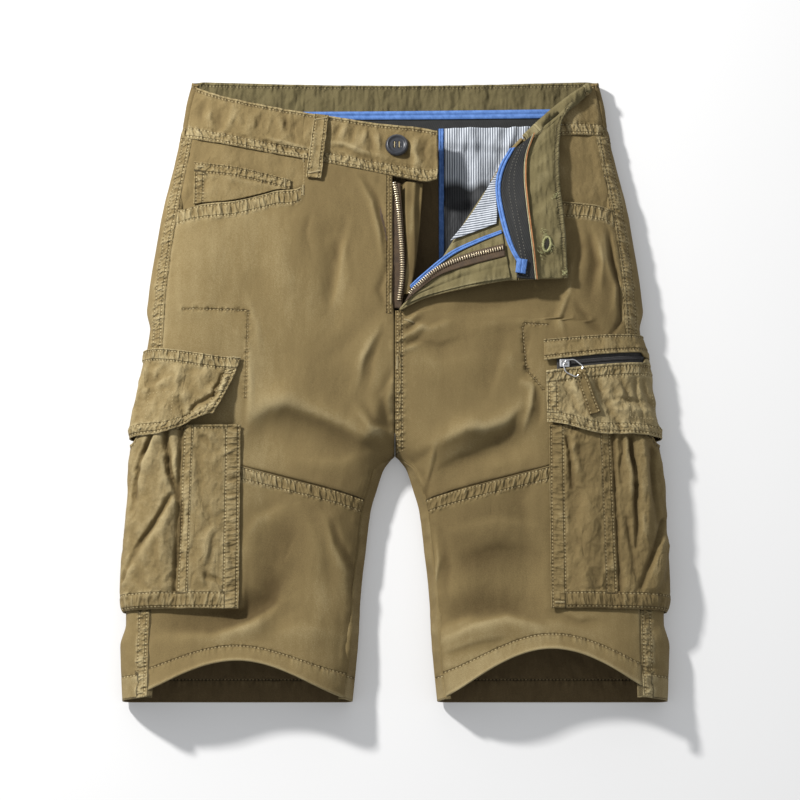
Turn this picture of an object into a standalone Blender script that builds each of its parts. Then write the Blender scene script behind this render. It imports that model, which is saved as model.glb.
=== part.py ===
"""Cargo shorts lying on their back on a flat surface, fly open and one front corner turned back.

+X is to the wearer's left, +Y to the waist and +Z up. Every length below is in millimetres, from a
point on the surface between the crotch and the fly; `world` turns it into metres from the middle of
the whole garment.
Each cut piece is an open sheet, moved onto the garment's shape and thickened inwards.
"""
from collections import namedtuple
from functools import lru_cache
from math import cos, exp, hypot, pi, radians, sin, sqrt

import bmesh
import bpy
from mathutils import Vector

MM = 0.001
MIDDLE = Vector((0.0, 5.3, 0.0))      # the garment's middle, in the lengths below
RIGHT, LEFT = -1, 1           # the wearer's sides, as signs of X
NAME = {RIGHT: "right", LEFT: "left"}

# ---- Driving sizes -------------------------------------------------------------------------------
CLOTH = 1.2                   # wall of the twill, turned edges and all
BAG = 1.0                     # wall of pocket bags, curtains and tapes
BAND = 3.0                    # waistband, two layers and their lining
SEAM = 0.3                    # gap between two pieces at a seam
ROUND_SEAM = 1.0              # the same where the cloth turns at the seam, so that the walls keep clear
EDGE = 8.0                    # radius of the roll at the garment's folded sides
SIDE_ROUND = 62.0             # how far in from the side the top is still rising
INNER_ROUND = 50.0            # the same from the inside of a leg
WAIST = 281.0                 # Y of the waistband's top at the back
WAIST_SAG = 3.5               # how much lower it is in the middle
LOOP_WIDTH = 13.0             # belt loops
LOOP_WALL = 1.6
BUTTON = (1.7, 214.6)         # the waist button's middle
BUTTON_RADIUS, BUTTON_HEIGHT = 10.2, 3.2
BUTTON_GAP = 0.6              # between it and the band, which curves away under it
BACK_LOOPS = (-150.0, -31.0, 23.0, 150.0)
HEM = -270.0                  # Y of the hem at the back
BACK_SEAM = 236.0             # Y of the waist seam at the middle of the back
BACK_DROP = 14.0              # how much lower it is at the sides
CROTCH = -57.5                # Y of the crotch
FLY_END = 64.0                # Y where the fly stops and the centre seam starts
POCKET_LIFT = 3.6             # how far the legs stand off the surface over the cargo pockets' backs
LOOP_LIFT = 2.4               # the same at the waist, over the belt loops
POCKET_BULK = 5.5             # how far a cargo pocket stands out at the garment's side
FLY_SET_BACK = 2.2            # how far the right front's edge lies from the centre beside the open fly
CRUMPLE = 22.0                # height over which the back seam rises to the crotch

Row = namedtuple("Row", "y outer inner height")
BODY = (
    # outline and crown height of one half; inner is the leg's inside edge, and is negative above the
    # crotch, where it gives the valley between the legs
    Row(-275, 231.0, 36.6, 44),
    Row(-248, 232.8, 33.6, 41),
    Row(-218, 234.3, 31.1, 38),
    Row(-179, 235.0, 29.1, 35),
    Row(-140, 233.8, 24.9, 34),
    Row(-106, 232.3, 20.7, 34),
    Row(-88, 231.3, 15.5, 34),
    Row(-70, 230.5, 9.5, 35),
    Row(-57.5, 229.8, 0.2, 35),
    Row(-46, 229.0, -7, 36),
    Row(-29, 228.0, -17, 37),
    Row(-3, 225.5, -35, 38),
    Row(31, 221.5, -50, 38),
    Row(56, 218.0, -52, 38),
    Row(99, 213.6, -52, 37),
    Row(126, 209.7, -52, 36),
    Row(156, 204.9, -52, 34),
    Row(190, 197.5, -52, 31),
    Row(223, 190.1, -52, 28),
    Row(254, 185.2, -52, 25),
    Row(283, 179.0, -52, 22),
)

SideSeam = namedtuple("SideSeam", "y across")
SIDE_SEAM = (
    SideSeam(-275, 208), SideSeam(-200, 208), SideSeam(-60, 206), SideSeam(37, 201),
    SideSeam(80, 199), SideSeam(113, 196), SideSeam(150, 191), SideSeam(175, 187), SideSeam(224, 178.5),
    SideSeam(283, 171),
)

Mouth = namedtuple("Mouth", "across y")
HIP_MOUTH = (                 # opening edge of a hip pocket, from its inner end to the side seam
    Mouth(80.5, 177), Mouth(87, 174), Mouth(104, 172.5), Mouth(117, 169), Mouth(143, 163),
    Mouth(172, 161), Mouth(192, 157),
)
HIP_INNER = 80.5              # how far from the middle the hip pocket's inner end is
HIP_TUCK = 14.0               # how far the pocket's facing runs on under the opening edge
COIN_TOP = ((-176, 202), (-168, 200), (-135, 194.5), (-91, 183))   # (x, y) of the coin pocket's top
COIN_WALL = 0.9

Seam = namedtuple("Seam", "x y")
WAIST_SEAM = (                # front waistband's lower edge, right across; the left end rides up
    Seam(-186, 225), Seam(-150, 217), Seam(-112, 209), Seam(-74, 202), Seam(-13, 189.5),
    Seam(8, 185.5), Seam(34, 182.3), Seam(115, 221), Seam(146, 225.5), Seam(186, 227),
)
WAIST_TOP = (                 # front waistband's upper edge on the wearer's right
    Seam(-181, 275), Seam(-160, 265), Seam(-131, 256.5), Seam(-103, 250.5), Seam(-74, 245),
    Seam(-48, 241), Seam(-13, 235.3), Seam(20, 232), Seam(37, 228.5),
)

FoldPoint = namedtuple("FoldPoint", "y x")
FOLD_LINE = (                 # where the left front is turned back, seen from above
    FoldPoint(64, 3.5), FoldPoint(81, 17), FoldPoint(98, 32), FoldPoint(123, 48.5),
    FoldPoint(146.5, 62.5), FoldPoint(182.5, 84.5), FoldPoint(211.6, 102), FoldPoint(228.8, 118),
    FoldPoint(243.4, 133), FoldPoint(260.8, 153), FoldPoint(272, 168),
)
FOLD_SEAM, FOLD_TOP = 221.0, 272.0    # Y where the waist seam and the band's top meet the fold
FOLD_HIP = 177.0                      # Y where the hip pocket's opening edge meets it
TURN_GAP = 3.5                        # gap inside the fold
TURN_RISE = 11.0                      # how much more the turned-back corner stands off further out

FlapPoint = namedtuple("FlapPoint", "share x y")
FLAP_CENTRE = (               # centre edge of the turned-back corner, from the fly's end to the waist
    FlapPoint(0, 4, 63), FlapPoint(0.23, 28, 74), FlapPoint(0.5, 61, 81), FlapPoint(0.82, 94, 86.5),
    FlapPoint(1, 105, 87),
)
FLAP_SEAM = (                 # waist seam on the turned-back corner, from the fold to the centre edge
    FlapPoint(0, 116, 217), FlapPoint(0.2, 105, 196), FlapPoint(0.4, 101, 170),
    FlapPoint(0.6, 101, 145), FlapPoint(0.8, 104, 118), FlapPoint(1, 106, 87),
)
FLAP_TOP = (                  # top of the waistband there
    FlapPoint(0, 173, 268), FlapPoint(0.1, 158, 256), FlapPoint(0.2, 147.5, 241),
    FlapPoint(0.33, 144, 222), FlapPoint(0.55, 143, 182), FlapPoint(0.75, 146.5, 137),
    FlapPoint(1, 149, 91),
)

Fold = namedtuple("Fold", "x1 y1 x2 y2 width depth")
FOLDS = (
    # the large soft folds of the front, each along a line; a trough has a negative depth
    Fold(-124, -22, -94, -14, 15, 2.5),
    Fold(-94, -14, -30, -44, 15, 3.0),
    Fold(-112, -44, -50, -60, 16, -3.0),
    Fold(-110, -118, -72, -172, 24, -4.0),
    Fold(-52, -118, -40, -165, 9, 2.5),
    Fold(-135, -176, -100, -200, 11, -4.0),
    Fold(-170, -214, -118, -206, 10, 2.5),
    Fold(-57, 132, -51, 62, 11, -2.5),
    Fold(-95, 120, -80, 20, 22, 1.5),
    Fold(30, -58, 62, -42, 12, 3.0),
    Fold(62, -42, 110, -28, 13, 3.0),
    Fold(52, -68, 108, -52, 14, -3.5),
    Fold(42, -140, 128, -172, 26, -4.5),
    Fold(38, -225, 132, -204, 12, 3.0),
    Fold(96, 40, 112, -10, 18, -1.5),
    Fold(150, 130, 138, 66, 13, -2.0),
    Fold(-6, -8, -24, -46, 8, 2.0),
)

Arch = namedtuple("Arch", "retreat flare power")
HEM_ARCH = {RIGHT: Arch(30.0, 9.0, 1.6), LEFT: Arch(40.0, 11.0, 1.4)}
FLARE_LENGTH = 14.0           # how far up the leg the front hem's flare reaches

# ---- Colours, as linear RGB ----------------------------------------------------------------------
OLIVE = (0.235, 0.168, 0.078)
CHARCOAL = (0.028, 0.029, 0.026)
BLUE = (0.14, 0.27, 0.58)
STRIPES = (0.48, 0.51, 0.55)
BROWN_TAPE = (0.060, 0.038, 0.016)
BLACK_TAPE = (0.010, 0.010, 0.010)
HORN = (0.050, 0.052, 0.060)
STEEL = (0.42, 0.42, 0.43)


# ---- Small mathematics ---------------------------------------------------------------------------
def mix(a, b, t):
    return a + (b - a) * t


def clamp(t):
    return min(max(t, 0.0), 1.0)


def ease(t):
    """0 to 1 with soft ends."""
    t = clamp(t)
    return t * t * (3 - 2 * t)


def dome(t):
    """A quarter ellipse: upright at t = 0, level from t = 1."""
    return sqrt(1 - (1 - clamp(t)) ** 2)


def steps(first, last, count):
    """count + 1 even places from first to last."""
    return [mix(first, last, k / count) for k in range(count + 1)]


def smooth(table, place):
    """Reads a table of (place, value) pairs, sorted by place, along a smooth curve through them."""
    if place <= table[0][0]:
        return table[0][1]
    if place >= table[-1][0]:
        return table[-1][1]
    k = next(n for n in range(1, len(table)) if place <= table[n][0])
    (p0, v0), (p1, v1) = table[k - 1], table[k]

    def slope(n):
        low, high = table[max(n - 1, 0)], table[min(n + 1, len(table) - 1)]
        return (high[1] - low[1]) / (high[0] - low[0])

    t = (place - p0) / (p1 - p0)
    run = p1 - p0
    return ((2 * t ** 3 - 3 * t ** 2 + 1) * v0 + (t ** 3 - 2 * t ** 2 + t) * run * slope(k - 1)
            + (3 * t ** 2 - 2 * t ** 3) * v1 + (t ** 3 - t ** 2) * run * slope(k))


def columns_of(table, key, *values):
    """One (place, value) table for each named column of a table."""
    return [tuple((getattr(row, key), getattr(row, value)) for row in table) for value in values]


OUTER, INNER, HEIGHT = columns_of(BODY, "y", "outer", "inner", "height")


def through(table, share):
    """The point at a share of a curve given as FlapPoints."""
    across, along = columns_of(table, "share", "x", "y")
    return Vector((smooth(across, share), smooth(along, share)))


# ---- The garment's shape -------------------------------------------------------------------------
def lift(across, y):
    """How far the underside stands off the surface, over what is sewn on it there."""
    pocket = POCKET_LIFT * ease((across - 142) / 26) * ease((y + 228) / 24) * ease((74 - y) / 22)
    return pocket + LOOP_LIFT * ease((y - 192) / 28)


@lru_cache(maxsize=None)
def outer(y):
    """Half-width of the body, inside the cargo pockets' bulk."""
    return smooth(OUTER, y) - POCKET_BULK * ease((y + 224) / 20) * ease((72 - y) / 20)


@lru_cache(maxsize=None)
def inner(y):
    return smooth(INNER, y)


def rim(across, y):
    """Height at which the top of the body meets its rolled edge."""
    return EDGE + lift(outer(y), y) * ease((across - 100) / 60)


def fold_relief(x, y):
    total = 0.0
    for fold in FOLDS:
        run = Vector((fold.x2 - fold.x1, fold.y2 - fold.y1))
        away = Vector((x - fold.x1, y - fold.y1))
        t = away.dot(run) / run.length_squared
        beside = (away - run * clamp(t)).length
        total += fold.depth * exp(-(beside / fold.width) ** 2)
    under_pocket = ease((abs(x) - 108) / 26) * ease((y + 222) / 20) * ease((62 - y) / 20)
    return total * (1 - under_pocket)


def leg_share(across):
    """0 at the inside of a leg's hem, 1 at its outside."""
    return clamp((across - 36) / (231 - 36))


def front_hem(x):
    arch = HEM_ARCH[LEFT if x > 0 else RIGHT]
    return HEM + arch.retreat * sin(pi * leg_share(abs(x))) ** arch.power


def top(x, y):
    """Height of the front's outer side at a place."""
    across = abs(x)
    span = dome((outer(y) - across) / SIDE_ROUND) * dome((across - inner(y)) / INNER_ROUND)
    height = smooth(HEIGHT, y) + fold_relief(x, y)
    arch = HEM_ARCH[LEFT if x > 0 else RIGHT]
    flare = arch.flare * sin(pi * leg_share(across)) * exp(-max(y - front_hem(x), 0) / FLARE_LENGTH)
    return mix(rim(across, y), height + flare, span)


def side_seam(y):
    return smooth(SIDE_SEAM, y)


def inseam(y):
    """How far from the middle the front ends at the inside of the leg, or the centre seam."""
    return max(inner(y), 0) + 7.0 * ease((CROTCH - y) / 18)


def knee_seam(x):
    return -52 - 0.25 * (213 - abs(x))


# ---- Building sheets -----------------------------------------------------------------------------
def material(name, colour, roughness=0.85, metallic=0.0):
    made = bpy.data.materials.new(name)
    made.use_nodes = True
    shader = made.node_tree.nodes["Principled BSDF"]
    shader.inputs["Base Color"].default_value = (*colour, 1.0)
    shader.inputs["Roughness"].default_value = roughness
    shader.inputs["Metallic"].default_value = metallic
    return made


def world(point):
    return (Vector(point) - MIDDLE) * MM


def clear_scene():
    for thing in list(bpy.data.objects):
        bpy.data.objects.remove(thing, do_unlink=True)


def put(name, mesh_source, colour, **finish):
    """Makes an object of a bmesh in the garment's collection, with a material of its own."""
    mesh = bpy.data.meshes.new(name)
    mesh_source.to_mesh(mesh)
    mesh_source.free()
    mesh.shade_smooth()
    mesh.materials.append(material(name + "_finish", colour, **finish))
    thing = bpy.data.objects.new(name, mesh)
    GARMENT.objects.link(thing)
    return thing


def sheet(name, columns, rows, place, colour, wall=CLOTH, flip=False, cut=None):
    """A piece of cloth: a grid with its outer corners at place(column, row), thickened inwards.

    cut(i, j) says which faces of the grid are cut away, by their column and row number.
    """
    wide, long = len(columns) - 1, len(rows) - 1
    grid = bmesh.new()
    bmesh.ops.create_grid(grid, x_segments=wide, y_segments=long, size=1.0)
    where = {}
    for corner in grid.verts:
        i = round((corner.co.x + 1) / 2 * wide)
        j = round((corner.co.y + 1) / 2 * long)
        where[corner] = (i, j)
        corner.co = world(place(columns[i], rows[j]))
    if cut:
        gone = [f for f in grid.faces if cut(min(where[v][0] for v in f.verts),
                                             min(where[v][1] for v in f.verts))]
        bmesh.ops.delete(grid, geom=gone, context="FACES")
    if flip:
        bmesh.ops.reverse_faces(grid, faces=grid.faces[:])
    thing = put(name, grid, colour)
    shell = thing.modifiers.new("Wall", "SOLIDIFY")
    shell.thickness = wall * MM
    shell.offset = -1.0
    return thing


# ---- Front panels --------------------------------------------------------------------------------
INNER_COLUMNS = 6             # from the centre seam to the hip pocket's inner end
OUTER_COLUMNS = 7             # from there to the side seam
HIP_ROWS = 3
FLY_ROWS = 5
THIGH_ROWS = 7
SHIN_ROWS = 10


def front_columns():
    """Column places: 0 at the centre or inside seam, 1 at the hip pocket's line, 2 at the side seam."""
    first = [0.0, 0.09, 0.24, 0.42, 0.61, 0.8]
    return first + steps(1.0, 2.0, OUTER_COLUMNS)


def across_front(column, y, near=None):
    near = inseam(y) + SEAM / 2 if near is None else near
    far = side_seam(y) - ROUND_SEAM / 2
    line = max(HIP_INNER, mix(near, far, 0.36))
    return mix(near, line, column) if column < 1 else mix(line, far, column - 1)


def mouth_y(across):
    return smooth(HIP_MOUTH, across)


def waist_seam(x):
    return smooth(WAIST_SEAM, x)


def front_upper_y(side, column, row):
    """Rows run from the knee seam, 0, by the fly's end, 1, and the hip pocket, 2, to the waist, 3."""
    level = mix(-90, 200, row / 3)
    across = across_front(column, level)
    low = knee_seam(across) + SEAM / 2
    fly = FLY_END - 12 * clamp(across / 200)
    hip = mouth_y(across)
    waist = waist_seam(side * across) - SEAM
    if row < 1:
        return mix(low, fly, row)
    if row < 2:
        return mix(fly, hip, row - 1)
    return mix(hip, waist, row - 2)


def upper_rows():
    return steps(0, 1, THIGH_ROWS)[:-1] + steps(1, 2, FLY_ROWS)[:-1] + steps(2, 3, HIP_ROWS)


def front_right_upper():
    def place(column, row):
        y = front_upper_y(RIGHT, column, row)
        near = inseam(y) + SEAM / 2 + FLY_SET_BACK * ease((y - FLY_END + 12) / 24)
        x = -across_front(column, y, near)
        return x, y, top(x, y)

    first_hip_row = THIGH_ROWS + FLY_ROWS
    return sheet("front_right_upper", front_columns(), upper_rows(), place, OLIVE, flip=True,
                 cut=lambda i, j: i >= INNER_COLUMNS and j >= first_hip_row)


def front_lower(side):
    def place(column, row):
        across = across_front(column, mix(-90, HEM, row))
        x = side * across
        y = mix(knee_seam(across) - SEAM / 2, front_hem(x), row)
        x = side * across_front(column, y)
        return x, y, top(x, y)

    return sheet(f"front_{NAME[side]}_lower", front_columns(), steps(0, 1, SHIN_ROWS), place, OLIVE,
                 flip=side > 0)


# ---- Back panels ---------------------------------------------------------------------------------
def back_rows():
    return (steps(HEM, -224, 3)[:-1] + steps(-224, -204, 2)[:-1] + steps(-204, CROTCH - 18, 6)[:-1]
            + steps(CROTCH - 18, CROTCH, 2)[:-1] + steps(CROTCH, CROTCH + CRUMPLE, 3)[:-1]
            + steps(CROTCH + CRUMPLE, 52, 4)[:-1] + steps(52, 72, 2)[:-1] + steps(72, 192, 4)[:-1]
            + steps(192, BACK_SEAM, 3))


def back_seam_drop(across, level):
    """How far the back's rows sink towards the sides, near the waist."""
    return BACK_DROP * clamp(across / 180) * ease((level - 180) / (BACK_SEAM - 180))


@lru_cache(maxsize=None)
def back_section(y):
    """The back's outer side across one half at Y: (across, z) from the side seam to the inner edge."""
    edge, start = outer(y), side_seam(y) + ROUND_SEAM / 2
    points = []
    for t in (0, 0.35, 0.65, 0.88):
        across = mix(start, edge, t)
        points.append((across, top(across, y)))
    floor = lift(edge, y)
    for angle in (0, 30, 60, 90):
        a = radians(angle)
        points.append((edge - EDGE + EDGE * cos(a), floor + EDGE - EDGE * sin(a)))
    last = 30.0 + max(inner(y), 0)
    for across in steps(edge - EDGE, last, 8)[1:]:
        points.append((across, lift(across, y)))
    leg = clamp((CROTCH + CRUMPLE - y) / CRUMPLE)
    leg = ease(leg)
    side_of_leg = max(inner(y), 0)
    for t, angle in ((0.25, 0), (0.5, 45), (0.75, 90)):
        a = radians(angle)
        flat = (mix(last, SEAM / 2, t), lift(last, y))
        rolled = (side_of_leg + EDGE - EDGE * sin(a), EDGE - EDGE * cos(a))
        points.append((mix(flat[0], rolled[0], leg), mix(flat[1], rolled[1], leg)))
    end = max(inseam(y) - ROUND_SEAM, SEAM / 2)
    low = y if y < CROTCH else CROTCH
    end_height = top(end, low) if y < CROTCH - 4 else EDGE
    points.append((mix(SEAM / 2, end, leg), mix(lift(last, y), end_height, leg)))
    return points


def back(side):
    rows = back_rows()
    columns = list(range(len(back_section(rows[0]))))

    def place(column, level):
        y = level - back_seam_drop(back_section(level)[column][0], level) - SEAM
        across, z = back_section(y)[column]
        return side * max(across, SEAM / 2), y, z

    return sheet(f"back_{NAME[side]}", columns, rows, place, OLIVE, flip=side < 0)


# ---- Turned-back corner --------------------------------------------------------------------------
BASE, ROLL, FLAP = "base", "roll", "flap"
ROLL_ANGLES = (-45, 0, 45)
FLAP_COLUMNS = 7
FIRST_TURNED = 1.06           # the first row past the fly's end that is turned back
HIP_SHARE = (FOLD_HIP - FLY_END) / (FOLD_SEAM - FLY_END)


def fold_x(y):
    return smooth(FOLD_LINE, y)


def fold_outward(y):
    """Unit direction in plan from the fold away from the garment."""
    run = Vector((fold_x(y + 4) - fold_x(y - 4), 8.0))
    return Vector((-run.y, run.x)).normalized()


def crease(y):
    """Centre of the fold's roll at a height Y, in plan."""
    inward = (TURN_GAP / 2 + CLOTH) / -fold_outward(y).x
    return Vector((fold_x(y) + inward, y))


def turn_gap(x, y):
    """Gap between the front and the corner turned back over it."""
    beyond = (x - fold_x(y)) * 0.76
    return TURN_GAP + (TURN_RISE * ease(beyond / 60) * ease((232 - y) / 120)
                       * (1 - 0.6 * ease((x - 95) / 55)))


def flap_z(x, y):
    """Height of the turned-back cloth's outer side, which faces down."""
    return top(x, y) + turn_gap(x, y)


def flap_panel(row_share, across_share):
    """Plan of the front panel on the flap: 0 to 1 from the fly's end to the waist, and 0 to 1 from
    the fold to the centre edge."""
    fold = crease(mix(FLY_END, FOLD_SEAM, row_share))
    straight = mix(fold, through(FLAP_CENTRE, row_share), across_share)
    seam_line = mix(crease(FOLD_SEAM), through(FLAP_CENTRE, 1), across_share)
    return straight + (through(FLAP_SEAM, across_share) - seam_line) * row_share ** 2


def roll_point(middle, base_z, flap_height, angle):
    """A point of the fold's inner surface, at an angle from -90, below, to 90, above."""
    a = radians(angle)
    half = (flap_height - base_z) / 2
    plan = middle + fold_outward(middle.y) * half * cos(a)
    return plan.x, plan.y, base_z + half + half * sin(a)


def on_flap(plan, up=0.0):
    return plan.x, plan.y, flap_z(plan.x, plan.y) + up


def fly_level(x):
    return FLY_END - 12 * clamp(x / 200)


def turned_row_start(row):
    """Crease point of one of the front's rows between the fly's end, 1, and the hip pocket, 2."""
    y = mix(FLY_END, FOLD_HIP, row - 1)
    for _ in range(4):
        x = crease(y).x
        y = mix(fly_level(x), mouth_y(x), row - 1)
    return crease(y)


def turned_columns():
    return ([(FLAP, b) for b in steps(1, 0, FLAP_COLUMNS)] + [(ROLL, a) for a in reversed(ROLL_ANGLES)]
            + [(BASE, c) for c in front_columns()])


def front_left_upper():
    rows = (steps(0, 1, THIGH_ROWS) + [FIRST_TURNED] + steps(1 + 1 / FLY_ROWS, 2, FLY_ROWS - 1)
            + steps(2, 3, HIP_ROWS)[1:])
    columns = turned_columns()
    parts = [part for part, _ in columns]
    first_base, fly_row, hip_row = parts.index(BASE), rows.index(1), rows.index(2)
    first_roll = parts.index(ROLL)

    def place(column, row):
        part, at = column
        if part == FLAP:
            share = HIP_SHARE * (row - 1) if row < 2 else mix(HIP_SHARE, 1, row - 2)
            plan = flap_panel(max(share, 0), at)
            return on_flap(plan - Vector((ROUND_SEAM * share ** 8, 0)))
        near = turned_row_start(row) if row > 1 else None
        if part == ROLL:
            if near is None:
                return 0, FLY_END, 0
            return roll_point(near, top(near.x, near.y), flap_z(near.x, near.y), at)
        y = front_upper_y(LEFT, at, min(row, 2))
        if near is None:
            x = across_front(at, y)
            return x, y, top(x, y)
        x = mix(near.x, side_seam(y) - ROUND_SEAM / 2, at / 2)
        y = mix(fly_level(x), mouth_y(x), min(row, 2) - 1)
        x = mix(near.x, side_seam(y) - ROUND_SEAM / 2, at / 2)
        return x, y, top(x, y)

    def cut(i, j):
        if j <= fly_row:
            return i < first_base
        return j >= hip_row and i >= first_roll - 1

    return sheet("front_left_upper", columns, rows, place, OLIVE, cut=cut)


def hip_facing(side):
    """The cloth that shows in a hip pocket's mouth; on the left it runs on round the fold."""
    if side == RIGHT:
        columns = [(BASE, c) for c in steps(0, 1, 7)]
    else:
        columns = ([(FLAP, 0)] + [(ROLL, a) for a in reversed(ROLL_ANGLES)]
                   + [(BASE, c) for c in steps(0, 1, 6)])
    rows = [-1.0, -0.06] + steps(0.06, 1, 3)
    under = CLOTH + SEAM
    bases = [part for part, _ in columns].index(BASE)

    def place(column, row):
        part, at = column
        if side == RIGHT:
            near = Vector((HIP_INNER - 8, 0))
        else:
            near = crease(mix(FOLD_HIP, FOLD_SEAM - 2, max(row, 0)))
        if part == FLAP:
            return on_flap(near)
        if part == ROLL:
            return roll_point(near, top(near.x, near.y) - under, flap_z(near.x, near.y), at)
        x = mix(near.x, side_seam(180) - 2, at)
        if row >= 0:
            y = mix(mouth_y(x), waist_seam(side * x) - 2 * ROUND_SEAM, row)
        else:
            y = mouth_y(x) + HIP_TUCK * row
        x = mix(near.x, side_seam(y) - ROUND_SEAM / 2, at)
        return side * x, y, top(side * x, y) - under - (SEAM if row > 0 else ROUND_SEAM)

    return sheet(f"hip_facing_{NAME[side]}", columns, rows, place, OLIVE, wall=BAG, flip=side < 0,
                 cut=lambda i, j: i < bases and j < 2)


def coin_pocket():
    """The small pocket on the right hip pocket's facing."""
    def place(column, row):
        x = mix(-176, -91, column)
        y = mix(mouth_y(-x) + ROUND_SEAM, smooth(COIN_TOP, x), row)
        return x, y, top(x, y) - CLOTH + COIN_WALL

    return sheet("coin_pocket_right", steps(0, 1, 6), steps(0, 1, 2), place, OLIVE, wall=COIN_WALL)


# ---- Waistband -----------------------------------------------------------------------------------
BAND_JOIN = 3.5               # how far in from the garment's side the back waistband ends, on top


def waistband_front_right():
    def place(column, row):
        level = mix(waist_seam(-180), smooth(WAIST_TOP, -180), row)
        x = mix(37, -(outer(level) - BAND_JOIN - 1.6 * ROUND_SEAM), column)
        y = mix(waist_seam(x), smooth(WAIST_TOP, x), row)
        return x, y, top(x, y)

    columns = steps(1, 0.85, 3)[:-1] + steps(0.85, 0, 12)
    return sheet("waistband_front_right", columns, steps(0, 1, 3), place, OLIVE, wall=BAND)


def waistband_front_left():
    columns = ([(FLAP, b) for b in steps(1, 0, 11)] + [(ROLL, a) for a in reversed(ROLL_ANGLES)]
               + [(BASE, c) for c in steps(0, 1, 4)])

    def place(column, row):
        part, at = column
        fold = crease(mix(FOLD_SEAM, FOLD_TOP, row))
        if part == FLAP:
            return on_flap(mix(through(FLAP_SEAM, at), through(FLAP_TOP, at), row))
        if part == ROLL:
            return roll_point(fold, top(fold.x, fold.y), flap_z(fold.x, fold.y), at)
        level = mix(waist_seam(180), 276, row)
        x = mix(fold.x, outer(level) - BAND_JOIN - 1.6 * ROUND_SEAM, at)
        y = mix(fold.y, mix(waist_seam(x), mix(FOLD_TOP, 276, at), row), clamp(4 * at))
        return x, y, top(x, y)

    return sheet("waistband_front_left", columns, steps(0, 1, 3), place, OLIVE, wall=BAND)


def waistband_back():
    def half(y):
        edge, floor = outer(y), lift(180, y)
        points = [(edge - BAND_JOIN, top(edge - BAND_JOIN, y)), (edge - 1, top(edge - 1, y))]
        for angle in (0, 30, 60, 90):
            a = radians(angle)
            points.append((edge - EDGE + EDGE * cos(a), floor + EDGE - EDGE * sin(a)))
        return points + [(mix(edge - EDGE, 0, t), floor) for t in (0.15, 0.32, 0.5, 0.68, 0.84, 1)]

    count = len(half(WAIST))
    columns = [(LEFT, k) for k in range(count)] + [(RIGHT, k) for k in reversed(range(count - 1))]

    def place(column, row):
        side, k = column
        level = mix(BACK_SEAM, WAIST, row)
        share = clamp(half(level)[k][0] / 180)
        y = mix(BACK_SEAM - BACK_DROP * share, WAIST - WAIST_SAG * cos(share * pi / 2), row)
        across, z = half(y)[k]
        return side * across, y, z

    return sheet("waistband_back", columns, steps(0, 1, 3), place, OLIVE, wall=BAND, flip=False)


def belt_loop(name, foot, head, z, rise, facing_down=False):
    """A strap from foot to head, in plan; z gives the surface it lies on, rise its height over it."""
    run = (head - foot)
    across = Vector((run.y, -run.x)).normalized() * LOOP_WIDTH / 2

    def place(column, row):
        plan = foot + run * row + across * column
        return plan.x, plan.y, z(plan.x, plan.y) + rise(row)

    return sheet(name, [-1, 1], steps(0, 1, 5), place, OLIVE, wall=LOOP_WALL, flip=facing_down)


def belt_loops():
    def over_band(row):
        return SEAM + LOOP_WALL + 1.6 * sin(pi * row)

    belt_loop("belt_loop_front_right", Vector((-71, 184)), Vector((-64.5, 243)), top, over_band)
    foot = mix(through(FLAP_SEAM, 0.66), through(FLAP_TOP, 0.66), -0.3)
    head = mix(through(FLAP_SEAM, 0.66), through(FLAP_TOP, 0.66), 0.98)
    belt_loop("belt_loop_front_left", foot, head, flap_z,
              lambda row: -(ROUND_SEAM + LOOP_WALL), facing_down=True)
    for k, x in enumerate(BACK_LOOPS):
        belt_loop(f"belt_loop_back_{k + 1}", Vector((x, WAIST - 54)), Vector((x, WAIST - 3)),
                  lambda x, y: 0.0, lambda row: 0.0, facing_down=True)


# ---- Inside of the waist -------------------------------------------------------------------------
def strip(name, first, second, base, up, colour, wall=BAG, long=8, wide=2, flip=False, rows=None):
    """A flat piece between two curves of FlapPoints, standing `up` over a surface."""
    def place(column, row):
        plan = mix(through(first, row), through(second, row), column)
        return plan.x, plan.y, base(plan.x, plan.y) + up + wall

    return sheet(name, steps(0, 1, wide), rows or steps(0, 1, long), place, colour, wall=wall, flip=flip)


def line(*points):
    """FlapPoints at even shares through the points."""
    return tuple(FlapPoint(k / (len(points) - 1), x, y) for k, (x, y) in enumerate(points))


def back_inside(x, y):
    return lift(abs(x), y) + CLOTH


def band_inside(x, y):
    return LOOP_LIFT + BAND


BAG_CLIMB_START = 16.0        # how far below the waist seam the back pocket bag starts to climb
BAG_CLIMB = 9.0               # how far up it does so, from the back to the curtain


def bag_base(x, y):
    """What the back pocket bag lies on: the back, then the curtain's lower edge."""
    seam = BACK_SEAM - BACK_DROP * clamp(abs(x) / 180)
    climbed = ease((y - seam + BAG_CLIMB_START) / BAG_CLIMB)
    return mix(back_inside(x, y), band_inside(x, y) + SEAM + BAG, climbed)


def inside_of_back():
    strip("curtain_back", line((-158, 219), (-79, 226), (0, 231.5), (79, 226), (158, 219)),
          line((-158, 244), (-79, 244.2), (0, 244.5), (79, 245.2), (158, 246)),
          band_inside, SEAM, CHARCOAL, long=12, flip=True)
    strip("piping_back", line((-158, 244.6), (0, 245.1), (158, 246.6)),
          line((-158, 252), (0, 253), (158, 255)), band_inside, SEAM, BLUE, wall=1.5, long=12, wide=1,
          flip=True)
    bag_rows = steps(0, 0.78, 6) + [0.84, 0.875, 0.91, 0.94, 1]
    strip("pocket_bag_back_left", line((43.5, 96), (43.5, 236.5)), line((166, 96), (166, 238)),
          bag_base, SEAM, STRIPES, wide=6, rows=bag_rows)
    strip("bag_binding_back_left", line((38.5, 96), (38.5, 236.5)), line((43.2, 96), (43.2, 236.5)),
          bag_base, SEAM, BLUE, wide=1, rows=bag_rows)


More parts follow.
